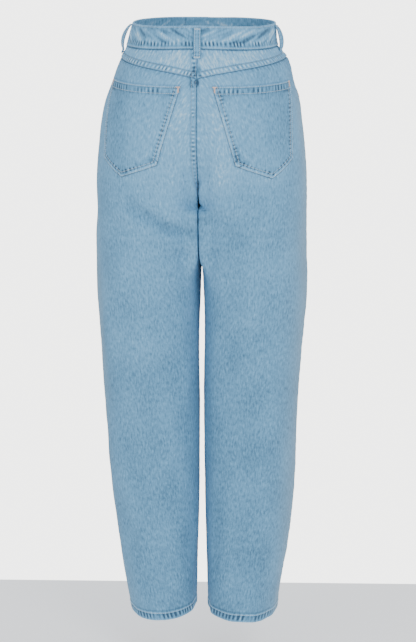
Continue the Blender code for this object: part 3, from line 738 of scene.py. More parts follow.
def denim(name, colours, contrast):
    """Washed denim: a fine twill, slubs along the warp, clouds of fading, and marks by the sewing, which
    are partly dye and partly painted shade and painted highlight.
    """
    made, tree, shader = new_material(name)
    uv = tree.nodes.new("ShaderNodeUVMap")
    uv.uv_map = "cloth"
    flat = uv.outputs[0]
    slub = noise(tree, stretched(tree, flat, (1.0, 0.16, 1.0)), 520.0, 3.0, 0.6)
    streak = noise(tree, stretched(tree, flat, (1.0, 0.34, 1.0)), 320.0, 3.0, 0.6)
    cloud = noise(tree, stretched(tree, flat, (1.0, 0.6, 1.0)), 26.0, 4.0, 0.55)
    grain = noise(tree, flat, 1900.0, 1.0, 0.5)
    split = tree.nodes.new("ShaderNodeSeparateXYZ")
    tree.links.new(flat, split.inputs[0])
    slant = total(
        tree, split.outputs[0], times(tree, split.outputs[1], 0.55), swing(tree, grain, 0.0003)
    )
    twill = calc(tree, "SINE", times(tree, slant, 2 * math.pi / TWILL_PITCH))
    fleck = noise(tree, stretched(tree, flat, (1.0, 0.55, 1.0)), 280.0, 2.0, 0.6)
    # Pucker tint: darker in the dimples and paler on the crests, partly dye and partly painted shade and
    # painted highlight
    wave = calc(tree, "SINE", attribute(tree, "phase"))
    wave = calc(tree, "SUBTRACT", times(tree, wave, 0.46), 0.20)
    pucker_dye_and_shade = times(tree, wave, attribute(tree, "dash"))
    pucker_dye_and_shade = times(tree, pucker_dye_and_shade, total(tree, 0.2, times(tree, streak, 1.5)))
    tone = total(
        tree,
        attribute(tree, "fade"),
        swing(tree, cloud, 0.38 * contrast),
        swing(tree, streak, 1.15 * contrast),
        swing(tree, fleck, 1.0 * contrast),
        swing(tree, slub, 1.1 * contrast),
        swing(tree, grain, 0.5 * contrast),
        times(tree, twill, 0.04),
        pucker_dye_and_shade,
        times(tree, attribute(tree, "pale"), 0.36),
    )
    # The dark values: seam lines and dye spots, with painted shade between the legs, in the pinch, at
    # the pocket rims, in the pocket mouths and round the centre back loop
    shade = times(tree, total(tree, 0.35, fleck), attribute(tree, "dark"))
    tone = calc(tree, "SUBTRACT", tone, times(tree, shade, 0.55))

    ramp = tree.nodes.new("ShaderNodeValToRGB")
    stops = ramp.color_ramp.elements
    stops[0].color = (*colours[0][1:], 1)
    stops[1].color = (*colours[-1][1:], 1)
    for place, *colour in colours[1:-1]:
        stops.new(place).color = (*colour, 1)
    tree.links.new(tone, ramp.inputs[0])
    # Greyer by the side seams: painted sheen and shade where the legs turn away
    share = times(tree, attribute(tree, "grey"), 0.8)
    tinted = mixed(tree, share, ramp.outputs[0], EDGE_SHEEN_GREY)
    tree.links.new(tinted, shader.inputs["Base Color"])
    settings(
        shader,
        {
            "Roughness": 0.88,
            "Specular IOR Level": 0.22,
            "Sheen Weight": 0.08,
            "Sheen Roughness": 0.6,
            "Sheen Tint": (0.85, 0.92, 1.0, 1.0),
        },
    )
    height = total(
        tree, times(tree, twill, 0.35), swing(tree, slub, 1.6), swing(tree, grain, 0.8)
    )
    bumped(tree, shader, height, 0.55, 0.00022)
    return made


def thread(name, dull, bright):
    """Sewing thread, a little uneven in tone."""
    made, tree, shader = new_material(name)
    where = tree.nodes.new("ShaderNodeTexCoord").outputs["Object"]
    speck = noise(tree, where, 900.0, 2.0, 0.6)
    wide = noise(tree, where, 60.0, 2.0, 0.5)
    share = total(tree, times(tree, speck, 0.6), times(tree, wide, 0.5))
    tree.links.new(mixed(tree, share, (*dull, 1), (*bright, 1)), shader.inputs["Base Color"])
    settings(shader, {"Roughness": 0.7, "Sheen Weight": 0.2})
    bumped(tree, shader, speck, 0.5, 0.0001)
    return made


def metal():
    """Plated metal, brushed and a little worn."""
    made, tree, shader = new_material("button_metal")
    where = tree.nodes.new("ShaderNodeTexCoord").outputs["Object"]
    speck = noise(tree, where, 700.0, 3.0, 0.6)
    cloud = noise(tree, where, 160.0, 2.0, 0.5)
    colour = mixed(tree, cloud, (0.42, 0.40, 0.37, 1), (0.66, 0.64, 0.61, 1))
    tree.links.new(colour, shader.inputs["Base Color"])
    settings(shader, {"Metallic": 1.0})
    rough = total(tree, 0.24, times(tree, speck, 0.22))
    tree.links.new(rough, shader.inputs["Roughness"])
    bumped(tree, shader, speck, 0.25, 0.00008)
    return made


Stop = namedtuple("Stop", "place red green blue")
WASHED = [
    Stop(0.0, 0.040, 0.095, 0.160),
    Stop(0.28, 0.092, 0.230, 0.365),
    Stop(0.50, 0.145, 0.350, 0.540),
    Stop(0.75, 0.225, 0.480, 0.700),
    Stop(1.0, 0.540, 0.730, 0.840),
]
BARE = [
    Stop(0.0, 0.200, 0.290, 0.380),
    Stop(0.50, 0.430, 0.530, 0.610),
    Stop(1.0, 0.740, 0.790, 0.830),
]
DENIM = denim("denim", WASHED, 0.56)
REVERSE = denim("denim_reverse", BARE, 0.34)
CLOTH = [DENIM, REVERSE]
PALE_THREAD = thread("thread_pale", (0.42, 0.54, 0.64), (0.70, 0.78, 0.82))
DULL_THREAD = thread("thread_dull", (0.20, 0.29, 0.38), (0.40, 0.48, 0.55))
TACK_THREAD = thread("thread_tack", (0.66, 0.38, 0.30), (0.86, 0.60, 0.50))
METAL = metal()


def wear_and_painted_light(z, w, side):
    """How pale the cloth is: about 0.5, and more where it is paler. Paler on the seat from fading, paler
    by the inseam as painted light that lifts the shade between the legs, darker down the legs and more
    so on the right, and darker in the folds' troughs as painted shade.
    """
    x = (w - 1) * FOLD_ARC
    seat = bell(z, -0.16, 0.11) * bell(np.abs(w - 1), 0.80, 0.35)
    thigh = bell(z, -0.45, 0.16) * bell(np.abs(w - 1), 0.5, 0.3)
    # Paler by the inseam low on the legs: painted light against the shade between the legs
    inner = bell(np.minimum(w, 2 - w), 0, 0.14) * eased((-0.27 - z) / 0.05)
    low = eased((-0.40 - z) / 0.25)
    clouds = ripples(x, z, 71 + side, 0.06, 0.13)
    folds = fold_depth(FOLDS, z, w, side) + fold_depth(CREASES, z, w, side)
    leg = eased((-0.24 - z) / 0.10) * (0.045 if side < 0 else 0.025)
    base = 0.49 + 0.23 * seat + 0.03 * thigh + 0.10 * inner - 0.04 * low - leg + 0.035 * clouds
    # Darker in the troughs of the folds and creases: painted shade
    return base - (12 + 14 * eased((z + 0.42) / 0.05)) * np.clip(folds, -0.001, 0.006)


def greyness(z, w, side):
    """How far the cloth turns greyer by the side seams: painted sheen and shade where the legs turn
    away, wider on the right.
    """
    reach = 0.10 if side > 0 else 0.16
    return 0.5 * eased((-0.06 - z) / 0.10) * bell(w, 1.04, reach)


def side_columns(step):
    """Shares from one seam to the next, denser by the seams, for a panel about 0.27 m wide."""
    width = 0.27
    return spread(width, step, grow=1.13) / width


def panel_heights(top):
    """Heights of a panel's rows under its upper edge, one column for each value of top."""
    torso_length = 0.17
    torso = spread(torso_length, 0.0034, end=False) / torso_length
    rows = [top + (TORSO_FOOT_Z - top) * share for share in torso]
    levels = np.concatenate(
        [
            TORSO_FOOT_Z - 0.0030 * np.arange(1, 10),
            -0.2745 - 0.0018 * np.arange(34),
            -0.3360 - 0.0038 * np.arange(176),
        ]
    )
    last = levels[-1]
    hem = last - spread(last - HEM_Z, 0.0030, start=False)[1:]
    levels = np.concatenate([levels, hem])
    return np.array(rows + [np.full_like(top, z) for z in levels])


def leg_thickness(heights):
    return WALL + (HEM_WALL - WALL) * eased((HEM_Z + HEM_DEPTH - heights) / 0.0012)


def sew_leg(finish, heights, from_side, from_middle, from_foot, seed):
    """What side seam, inseam, centre seam and hem do to a panel."""
    along_foot = from_side
    finish.groove(from_side)
    finish.groove(from_middle)
    finish.pucker(from_side, heights, 0.004, 0.004, 0.00022, 0.016, seed, 0.22)
    legs = eased((CROTCH_Z - heights) / 0.02)
    finish.pucker(from_middle, heights, 0.004, 0.004, 0.00020, 0.014, seed + 3, 0.20)
    finish.out += 0.0004 * bell(from_middle, 0.005, 0.004) * legs
    hem = eased((HEM_DEPTH - 0.0006 - from_foot) / 0.0012)
    finish.out += 0.0006 * hem
    finish.pucker(
        from_foot, along_foot, 0.0082, 0.0046, 0.00055, 0.0074, seed + 7, 1.5, slant=0.8
    )
    finish.row(from_foot, HEM_DEPTH - 0.0028, 0.0)
    finish.bright(from_foot, 0, 0.0024, 0.75)
    finish.line(from_foot, HEM_DEPTH + 0.0006, 0.0012, 0.45)
    finish.line(from_foot, HEM_DEPTH - 0.0056, 0.0010, 0.55)
    finish.bright(from_foot, HEM_DEPTH - 0.0026, 0.0014, 0.8)
    finish.out -= 0.0006 * bell(from_foot, 0, 0.0012)


def back_panel(side, label):
    shares = side_columns(0.0036)
    heights = panel_heights(yoke_seam(shares) - HALF_GAP)
    seam = HALF_GAP / arcs(heights[:, -1], side)[1]
    grid = 1 + seam[:, None] + shares[None, :] * (1 - 2 * seam[:, None])
    points, out = cloth(heights, grid, side)
    finish = Finish(heights.shape)
    from_side, from_middle, from_top, from_foot = distances(points)
    sew_leg(finish, heights, from_side, from_middle, from_foot, 100 + side)
    finish.groove(from_top, 0.0010, 0.0013)
    body = eased((heights - CROTCH_Z) / 0.02)
    if side > 0:
        height = 0.0009 * body
        finish.ridge(np.where(body > 0, from_middle, 1.0), FELL, height)
        finish.pucker(
            from_middle, heights, 0.0047, 0.0032, 0.00035, 0.0072, 140, 0.95 * body.max()
        )
        finish.double_row(from_middle + (1 - body))
    finish.pucker(from_top, from_side, 0.003, 0.004, 0.0003, 0.008, 150 + side, 0.35)
    window = 0.25 + 0.75 * eased((-0.120 - heights) / 0.02) * eased((heights + 0.245) / 0.02)
    finish.dash *= np.where(from_middle < 0.012, np.maximum(body, 0.3) * window, 1.0)
    finish.line(from_middle, 0.0, 0.0014, 0.75)
    # A wide dark line down the centre seam where it runs between the legs: painted shade in the hollow
    # there
    painted_cleft_shade = eased((-0.250 - heights) / 0.012) * eased((heights + 0.303) / 0.010)
    finish.line(from_middle, 0.0, 0.0036, 1.1 * painted_cleft_shade)
    if side < 0:
        off, along = segment_distance(-points[..., 0], points[..., 2], *PINCH)
        ends = eased((0.019 - along) / 0.006)
        finish.out -= 0.0024 * ends * bell(off, 0, 0.0022)
        # The dark line along this crease is painted shade
        finish.line(off, 0.0, 0.0015, 0.9 * ends)
    box = eased((heights + 0.0965) / 0.002)
    finish.line(from_middle, 0.0004, 0.0024, 1.2 * box)
    if side > 0:
        finish.line(from_middle + (1 - body), FELL, 0.0012, 0.45)
        finish.line(from_middle + (1 - body), FELL + 0.0006, 0.0022, 1.2 * box)
        inside_box = box * eased((0.0095 - from_middle) / 0.001)
        finish.line(heights, -0.0950, 0.0022, 1.2 * inside_box)
        finish.pale = np.maximum(finish.pale, 0.5 * inside_box)
    finish.line(from_top, 0.0, 0.0013, 0.85)
    finish.spots("back", heights, grid, side)
    finish.grey = greyness(heights, grid, side)
    finish.fade = wear_and_painted_light(heights, grid, side)
    wall = leg_thickness(heights)
    obj = shell(f"cloth_back_{label}", points, out, finish, 0.0, wall, side < 0, from_side)
    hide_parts(f"back_{label}")
    return obj


def scoop_way(turn, side):
    """(height, way round) on the edge of a front pocket's mouth, from the waistband down."""
    z = -BAND_HEIGHT + (SCOOP_FOOT_Z + BAND_HEIGHT) * np.sin(turn)
    return z, 1 - SCOOP_WIDTH / arcs(SCOOP_FOOT_Z, side)[0] * np.cos(turn)


def front_panel(side, label):
    shares = side_columns(0.0036)
    turns = np.linspace(0.02, math.pi / 2, 44)
    mouth_z, mouth_way = scoop_way(turns, side)
    heights = panel_heights(np.full_like(shares, -BAND_HEIGHT - GAP))[:, 0]
    low = heights[heights < mouth_z[-1] - 0.001]
    heights = np.concatenate([[-BAND_HEIGHT - GAP], mouth_z[1:], low])
    seam = HALF_GAP / arcs(heights, side)[0]
    edge = np.where(heights > SCOOP_FOOT_Z + 1e-6, np.interp(-heights, -mouth_z, mouth_way), 1 - seam)
    grid = seam[:, None] + shares[None, :] * (edge - seam)[:, None]
    heights = np.broadcast_to(heights[:, None], grid.shape)
    points, out = cloth(heights, grid, side)
    finish = Finish(heights.shape)
    from_middle, from_side, from_top, from_foot = distances(points)
    off_mouth = distance_to(points, points[: len(turns) : 3, -1])
    below = heights < SCOOP_FOOT_Z
    sew_leg(finish, heights, np.where(below, from_side, 1.0), from_middle, from_foot, 200 + side)
    mouth_along = np.broadcast_to(lengths_along(points[:, -1])[:, None], grid.shape)
    finish.groove(np.where(below, 1.0, off_mouth), 0.0005, 0.0010)
    finish.pucker(off_mouth, mouth_along, 0.0047, 0.0032, 0.0003, 0.0075, 240 + side, 0.8)
    finish.double_row(off_mouth)
    finish.groove(from_top, 0.0008, 0.0013)
    finish.pucker(from_top, from_middle, 0.003, 0.004, 0.0003, 0.008, 250 + side, 0.35)
    if side > 0:
        rise = eased((FLY_FOOT_Z + 0.002 - heights) / 0.004) * eased((heights - CROTCH_Z) / 0.02)
        finish.ridge(np.where(rise > 0, from_middle, 1.0), FELL, 0.0008 * rise)
        finish.double_row(from_middle + (1 - rise))
    finish.grey = greyness(heights, grid, side)
    finish.fade = wear_and_painted_light(heights, grid, side)
    wall = leg_thickness(heights)
    warp = -from_side - ((1 - edge) * arcs(heights[:, 0], side)[0])[:, None]
    obj = shell(f"cloth_front_{label}", points, out, finish, 0.0, wall, side < 0, warp)
    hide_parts(f"front_{label}")
    return obj


def yoke(side, label):
    shares = side_columns(0.0032)
    seam = HALF_GAP / arcs(YOKE_SIDE_Z, side)[1]
    ways = 1 + seam + shares * (1 - 2 * seam)
    top = -BAND_HEIGHT - GAP
    foot = yoke_seam(shares) + HALF_GAP
    down = np.linspace(0, 1, 30)[:, None]
    heights = top + (foot - top) * down
    points, out = cloth(heights, ways[None, :], side)
    finish = Finish(heights.shape)
    from_side, from_middle, from_top, from_foot = distances(points)
    finish.ridge(from_foot, FELL, 0.0010)
    finish.pucker(from_foot, from_side, 0.0047, 0.0034, 0.00038, 0.0070, 300 + side, 1.0)
    finish.double_row(from_foot)
    finish.groove(from_foot, 0.0007, 0.0009)
    finish.groove(from_side)
    finish.groove(from_middle)
    finish.groove(from_top, 0.0008, 0.0013)
    finish.pucker(from_top, from_side, 0.002, 0.004, 0.0003, 0.008, 310 + side, 0.3)
    finish.line(from_foot, 0.0, 0.0014, 0.9)
    finish.line(from_foot, FELL, 0.0013, 1.0)
    if side > 0:
        finish.ridge(from_middle, FELL, 0.0008)
        finish.pucker(from_middle, heights, 0.0047, 0.0032, 0.0003, 0.0072, 320, 0.8)
    ways = np.broadcast_to(ways, heights.shape)
    finish.spots("yoke", heights, ways, side)
    finish.grey = greyness(heights, ways, side)
    finish.fade = wear_and_painted_light(heights, ways, side) + 0.20
    obj = shell(f"cloth_yoke_{label}", points, out, finish, 0.0, WALL, side < 0)
    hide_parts(f"yoke_{label}")
    return obj


def segment_distance(x, y, a, b):
    """(distance, how far along) of points from a segment."""
    run = np.array(b) - np.array(a)
    length = np.linalg.norm(run)
    along = ((x - a[0]) * run[0] + (y - a[1]) * run[1]) / length
    clear = np.clip(along, 0, length)
    off = np.hypot(x - a[0] - run[0] * clear / length, y - a[1] - run[1] * clear / length)
    return off, along


def pocket_place(across, z, side):
    """The way round w of a place that is measured from the centre back seam."""
    return 2 - across / arcs(z, side)[1]


def back_pocket(side, label):
    top_in, top_out, low_out, tip, low_in = (np.array(corner) for corner in POCKET_CORNERS)
    tip_share = np.linalg.norm(tip - low_in)
    tip_share /= tip_share + np.linalg.norm(low_out - tip)
    u = np.unique(np.round(np.concatenate([spread(1.0, 0.022, 0.005), [tip_share]]), 5))
    v = spread(1.0, 0.024, 0.005)
    foot = np.where(
        (u < tip_share)[:, None],
        low_in + (tip - low_in) * (u / tip_share)[:, None],
        tip + (low_out - tip) * ((u - tip_share) / (1 - tip_share))[:, None],
    )
    head = top_in + (top_out - top_in) * u[:, None]
    left = top_in + (low_in - top_in) * v[:, None]
    right = top_out + (low_out - top_out) * v[:, None]
    uu, vv = u[None, :, None], v[:, None, None]
    corners = (
        (1 - uu) * (1 - vv) * top_in
        + uu * (1 - vv) * top_out
        + (1 - uu) * vv * low_in
        + uu * vv * low_out
    )
    flat = (1 - vv) * head[None] + vv * foot[None] + (1 - uu) * left[:, None] + uu * right[:, None]
    flat = flat - corners
    across, heights = flat[..., 0], flat[..., 1]
    ways = pocket_place(across.ravel(), heights.ravel(), side).reshape(heights.shape)
    points, out = cloth(heights, ways, side)
    finish = Finish(heights.shape)
    around = [top_in, low_in, tip, low_out, top_out]
    start = 0.0
    for k, (a, b) in enumerate(zip(around, around[1:])):
        off, along = segment_distance(across, heights, a, b)
        strength = (1.0, 1.05, 1.05, 0.55 if side > 0 else 1.05)[k]
        finish.pucker(off, along + start, 0.0082, 0.0026, 0.00035, 0.0068, 400 + side + 7 * k, strength)
        start += np.linalg.norm(b - a)
    sides = np.min([segment_distance(across, heights, a, b)[0] for a, b in zip(around, around[1:])], 0)
    finish.double_row(sides)
    finish.out += 0.0003 * eased((0.0105 - sides) / 0.002)
    finish.bright(sides, 0.0030, 0.0016, 0.75)
    # Dark rim: partly dye left where fading did not reach, partly painted shadow of the pocket's raised
    # edge
    finish.line(sides, 0.0, 0.0011, 1.0)
    finish.line(sides, 0.0066, 0.0009, 0.45)
    off, along = segment_distance(across, heights, top_in, top_out)
    hem = eased((0.0140 - off) / 0.0012)
    finish.out += 0.0006 * hem
    finish.pucker(off, along, 0.0088, 0.0042, 0.00038, 0.0076, 460 + side, 0.85)
    finish.row(off, 0.0022)
    finish.row(off, 0.0125)
    finish.line(off, 0.0146, 0.0011, 0.85)
    finish.line(off, 0.0036, 0.0009, 0.50)
    finish.bright(off, 0.0012, 0.0012, 0.6)
    finish.spots("pocket", heights, ways, side)
    finish.grey = 0.5 * greyness(heights, ways, side)
    finish.out -= 0.0005 * bell(np.minimum(sides, off), 0, 0.0008)
    finish.fade = wear_and_painted_light(heights, ways, side) - 0.09
    obj = shell(
        f"cloth_pocket_back_{label}", points, out, finish, ON_PATCH, PATCH_WALL, side > 0
    )
    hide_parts(f"pocket_back_{label}")
    return obj


def facing(side, label):
    """The cloth in the mouth of a front pocket."""
    lap = 0.010
    front = arcs(SCOOP_FOOT_Z, side)[0]
    ways = np.linspace(1 - (SCOOP_WIDTH + 0.004) / front, 1 - 0.0002 / front, 40)
    z = np.linspace(-BAND_HEIGHT - GAP, SCOOP_FOOT_Z - lap, 42)
    heights = np.broadcast_to(z[:, None], (len(z), len(ways)))
    grid = np.broadcast_to(ways, heights.shape)
    points, out = cloth(heights, grid, side)
    finish = Finish(heights.shape)
    from_inner, from_side, from_top, from_foot = distances(points)
    finish.groove(from_side)
    finish.groove(from_top, 0.0005)
    mouth_z, mouth_way = scoop_way(np.linspace(0, math.pi / 2, 30), side)
    mouth, _ = cloth(mouth_z, mouth_way, side)
    off = distance_to(points, mouth)
    # Darker by the mouth's edge: painted shade under the front panel's edge
    finish.dark = np.maximum(finish.dark, 0.5 * bell(off, 0, 0.004))
    finish.fade = wear_and_painted_light(heights, grid, side) - 0.02
    obj = shell(f"cloth_facing_{label}", points, out, finish, -WALL - GAP, PATCH_WALL, side < 0)
    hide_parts(f"pocket_facing_{label}")
    return obj


def fly():
    """The placket on the left front, with its rounded foot."""
    straight = np.linspace(-BAND_HEIGHT - GAP, FLY_STRAIGHT_Z, 46)
    turns = np.linspace(0, math.pi / 2 - 0.05, 30)[1:]
    heights = np.concatenate([straight, FLY_STRAIGHT_Z + (FLY_FOOT_Z - FLY_STRAIGHT_Z) * np.sin(turns)])
    width = np.concatenate([np.full(len(straight), FLY_WIDTH), FLY_WIDTH * np.cos(turns)])
    shares = spread(0.038, 0.0030) / 0.038
    front = arcs(heights, 1)[0]
    grid = (HALF_GAP + shares[None, :] * (width - HALF_GAP)[:, None]) / front[:, None]
    heights = np.broadcast_to(heights[:, None], grid.shape)
    points, out = cloth(heights, grid, 1)
    finish = Finish(heights.shape)
    from_middle, from_edge, from_top, from_foot = distances(points)
    edge = points[:, -1]
    off = distance_to(points, edge)
    along = np.broadcast_to(lengths_along(edge)[:, None], grid.shape)
    finish.pucker(off, along, 0.0047, 0.0030, 0.0003, 0.0074, 500, 0.9)
    finish.pucker(from_middle, heights, 0.003, 0.003, 0.0002, 0.011, 505, 0.3)
    finish.double_row(off)
    finish.bright(off, 0.0006, 0.0010, 0.5)
    finish.bright(from_middle, 0, 0.0014, 0.5)
    finish.out -= 0.0004 * bell(np.minimum(off, from_middle), 0, 0.0008)
    finish.fade = wear_and_painted_light(heights, grid, 1) + 0.03
    obj = shell("cloth_fly", points, out, finish, ON_PATCH, PATCH_WALL, False)
    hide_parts("fly")
    return obj


def waistband():
    """One folded strip, from its upper end round the left side and the back to its lower end."""
    front = arcs(-BAND_HEIGHT / 2, 1)[0]
    over, under = BAND_OVER_LAP / front, BAND_UNDER_LAP / front
    stations = [(-1, w) for w in np.linspace(over, 0, 5)[:-1]]
    stations += [(1, w) for w in np.linspace(0, 2, 190)]
    stations += [(-1, w) for w in np.linspace(2, 0, 190)[1:]]
    stations += [(1, w) for w in np.linspace(0, under, 16)[1:]]
    radius = BAND_WALL / 2
    bends = np.linspace(0, math.pi, 7)
    rises = spread(BAND_HEIGHT - radius, 0.0018, 0.0007, end=False)
    profile = [(BAND_PROUD, -BAND_HEIGHT + rise) for rise in rises]
    profile += [
        (BAND_PROUD - radius + radius * math.cos(a), -radius + radius * math.sin(a)) for a in bends[1:]
    ]
    inner_z = -radius - spread(BAND_HEIGHT - radius, 0.0030, 0.0030, start=False, end=False)[1:]
    profile += [(BAND_PROUD - BAND_WALL, z) for z in inner_z]
    offsets, zs = np.array(profile).T
    outer_rows = int(np.argmax(zs)) + 1
    points = np.empty((len(profile), len(stations), 3))
    out_all = np.empty_like(points)
    half_way = stations.index((1, 2.0))
    for j, (side, w) in enumerate(stations):
        column_points, out = placed(zs, np.full(len(zs), w), side)
        if w in (0, 2):
            out[:, 0] = 0
            out /= np.linalg.norm(out, axis=1)[:, None]
        from_front = w * front * -side
        moved = eased((BAND_STEP_ARC - from_front) / (0.6 * BAND_STEP_ARC)) if j > half_way else 0.0
        points[:, j] = column_points - out * moved * (BAND_WALL + GAP)
        out_all[:, j] = out
    along = distances(points)[0][0]
    along = np.broadcast_to(along, points.shape[:2])
    z_grid = np.broadcast_to(zs[:, None], along.shape)
    finish = Finish(along.shape)
    from_foot = z_grid + BAND_HEIGHT
    from_top = -z_grid
    finish.pucker(from_foot, along, 0.0088, 0.0036, 0.00055, 0.0068, 600, 1.4, slant=0.8)
    finish.pucker(from_top, along, 0.0030, 0.0030, 0.00020, 0.011, 610, 0.25)
    finish.row(from_foot, 0.0022)
    finish.row(from_top, 0.0026)
    finish.out += 0.0005 * ripples(along, z_grid, 620, 0.05, 0.05) * eased(from_top / 0.004)
    side_grid = np.array([side for side, w in stations])[None, :] * np.ones((len(zs), 1))
    tilted = z_grid + 0.50 * side_grid * (along - along[0, half_way])
    wrinkle = ripples(along, tilted, 630, 0.070, 0.0085)
    upper = eased((from_top - 0.002) / 0.006) * eased((from_foot - 0.007) / 0.006)
    finish.out += 0.00060 * wrinkle * upper
    finish.dark = np.maximum(finish.dark, 0.85 * np.clip(-wrinkle - 0.10, 0, 1) * upper)
    finish.pale = np.maximum(finish.pale, 0.75 * np.clip(wrinkle - 0.05, 0, 1) * upper)
    finish.line(from_foot, 0.0, 0.0013, 0.8)
    finish.line(from_foot, 0.0050, 0.0009, 0.35)
    finish.bright(from_top, 0, 0.0013, 0.55)
    finish.bright(from_foot, 0.0026, 0.0014, 0.45)
    is_outer = (np.arange(len(zs)) < outer_rows)[:, None]
    held_in = eased((0.0012 + from_top) / 0.004)
    lift = np.where(is_outer, finish.out, np.clip(finish.out, -0.0006, 0.0006) * 0.5) * held_in
    lift = np.where(is_outer | (offsets[:, None] > BAND_PROUD - BAND_WALL + 1e-9), lift, 0.0)
    final = points + out_all * (offsets[:, None] + lift)[..., None]
    rows, columns = along.shape
    quads = grid_faces(rows, columns, 0, False, closed=True)
    verts = final.reshape(-1, 3)
    flat_v = np.where(is_outer, z_grid, -z_grid)
    uv = np.stack([along - 0.4, flat_v], -1).reshape(-1, 2)
    slots = (np.repeat(np.arange(rows), columns - 1) >= rows).astype(int)
    fade = 0.56 + 0.05 * ripples(along, z_grid, 640, 0.05, 0.03)
    attributes = {
        "phase": finish.phase,
        "dash": finish.dash * is_outer,
        "pale": finish.pale,
        "dark": finish.dark * is_outer,
        "fade": np.where(is_outer, fade, fade - 0.02),
        "grey": np.zeros(along.shape),
    }
    attributes = {key: np.ravel(v) for key, v in attributes.items()}
    end_quads = []
    for j, flipped in ((0, False), (columns - 1, True)):
        for i in range(rows // 2):
            a, b = i, (rows - 1 - i)
            c, d = i + 1, rows - 2 - i
            if c >= d:
                break
            quad = [a * columns + j, b * columns + j, d * columns + j, c * columns + j]
            end_quads.append(quad[::-1] if flipped else quad)
    quads = np.concatenate([quads, np.array(end_quads)])
    slots = np.concatenate([slots, np.zeros(len(end_quads), int)])
    obj = build("cloth_waistband", verts, quads, uv, attributes, CLOTH, slots)
    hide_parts("waistband")
    return obj


def loop_path(loop, steps=46):
    """(centre points, across, ways out) of a belt loop's inner face, from its top to its foot."""
    heights = np.array([LOOP_TOP_Z, LOOP_SEAT_Z, LOOP_FOOT_Z])
    points, ways_out = placed(heights, np.full(3, loop.w), loop.side)
    if loop.w == 2:
        points[:, 0] = 0
        ways_out[:, 0] = 0
        ways_out /= np.linalg.norm(ways_out, axis=1)[:, None]
    level_out = np.array([ways_out[0, 0], ways_out[0, 1], 0])
    level_out /= np.linalg.norm(level_out)
    across = np.cross(level_out, (0, 0, 1))
    top = points[0] + level_out * (BAND_PROUD + SEAT_GAP)
    seat = points[1] + ways_out[1] * SEAT_GAP
    foot = points[2] + ways_out[2] * SEAT_GAP
    path = []
    for t in np.linspace(0, 1, steps):
        bulge = loop.slack * math.sin(math.pi * t) ** 0.6
        path.append(top + (seat - top) * t + level_out * bulge)
    path = np.array(path + [seat + (foot - seat) * t for t in np.linspace(0, 1, 9)[1:]])
    smooth = path.copy()
    for _ in range(6):
        smooth[1:-1] = (smooth[:-2] + 2 * smooth[1:-1] + smooth[2:]) / 4
    along = np.gradient(smooth, axis=0)
    out = np.cross(along, across)
    out /= np.linalg.norm(out, axis=1)[:, None]
    out *= np.sign(out @ level_out)[:, None]
    turn = loop.twist * np.sin(math.pi * np.linspace(0, 1, len(smooth)) ** 0.9)[:, None]
    turned = across * np.cos(turn) + out * np.sin(turn)
    return smooth + out * np.abs(np.sin(turn)) * LOOP_WIDTH * 0.25, turned, out


def belt_loop(loop):
    """A folded strip, with raised edges and two rows of stitches."""
    path, across, out = loop_path(loop)
    shares = np.linspace(-0.5, 0.5, 15)
    points = path[:, None] + shares[None, :, None] * LOOP_WIDTH * across[:, None]
    ways_out = np.repeat(out[:, None], len(shares), axis=1)
    finish = Finish(points.shape[:2])
    left, right, top, foot = distances(points)
    off = np.minimum(left, right)
    seed = 700 + int(10 * loop.w) + loop.side
    finish.pucker(off, top, 0.0036, 0.0022, 0.00022, 0.0068, seed, 0.30)
    finish.line(off, 0.0, 0.0008, 1.0)
    finish.line(off, 0.0036, 0.0008, 0.45)
    finish.row(off, 0.0019)
    finish.out += 0.0003 * bell(off, 0.0006, 0.0010)
    finish.out -= 0.0005 * bell(off, 0, 0.0005)
    ends = np.minimum(top, foot)
    finish.out -= 0.0003 * bell(ends, 0, 0.0012)
    finish.bright(ends, 0, 0.0030, 0.6)
    finish.bright(off, 0, 0.0010, 0.4)
    finish.fade = 0.60
    obj = shell(f"cloth_{loop.name}", points, ways_out, finish, PATCH_WALL, PATCH_WALL, True)
    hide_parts(loop.name)
    return obj


def allowance(name, sides, ways, heights):
    """A strip behind a seam: the edges of two panels that are turned in and sewn down.

    sides and ways say on which half and how far round each column lies, in metres off the seam.
    """
    columns = []
    for side, (start, sign), off in zip(sides, ways, STRIP_OFFSETS):
        front, back = arcs(heights, side)
        whole = front if (start == 1 and sign < 0) or start == 0 else back
        w = start + sign * np.abs(off) / whole
        points, out = cloth(heights, w, side)
        if off == 0 and start in (0, 2) and len(set(sides)) == 2:
            points[:, 0] = 0
            out[:, 0] = 0
            out /= np.linalg.norm(out, axis=1)[:, None]
        columns.append((points, out))
    points = np.stack([column_points for column_points, _ in columns], axis=1)
    ways_out = np.stack([out for _, out in columns], axis=1)
    finish = Finish(points.shape[:2])
    left, right, top, foot = distances(points)
    finish.pucker(left, top, 0.006, 0.005, 0.0002, 0.0072, 900, 0.5)
    sides_in = np.cross(points[1, -1] - points[0, -1], points[0, -1] - points[0, 0])
    flip = sides_in @ ways_out[0, 0] > 0
    finish.fade = 0.5
    return shell(name, points, ways_out, finish, -WALL - STRIP_DROP, STRIP_WALL, flip)


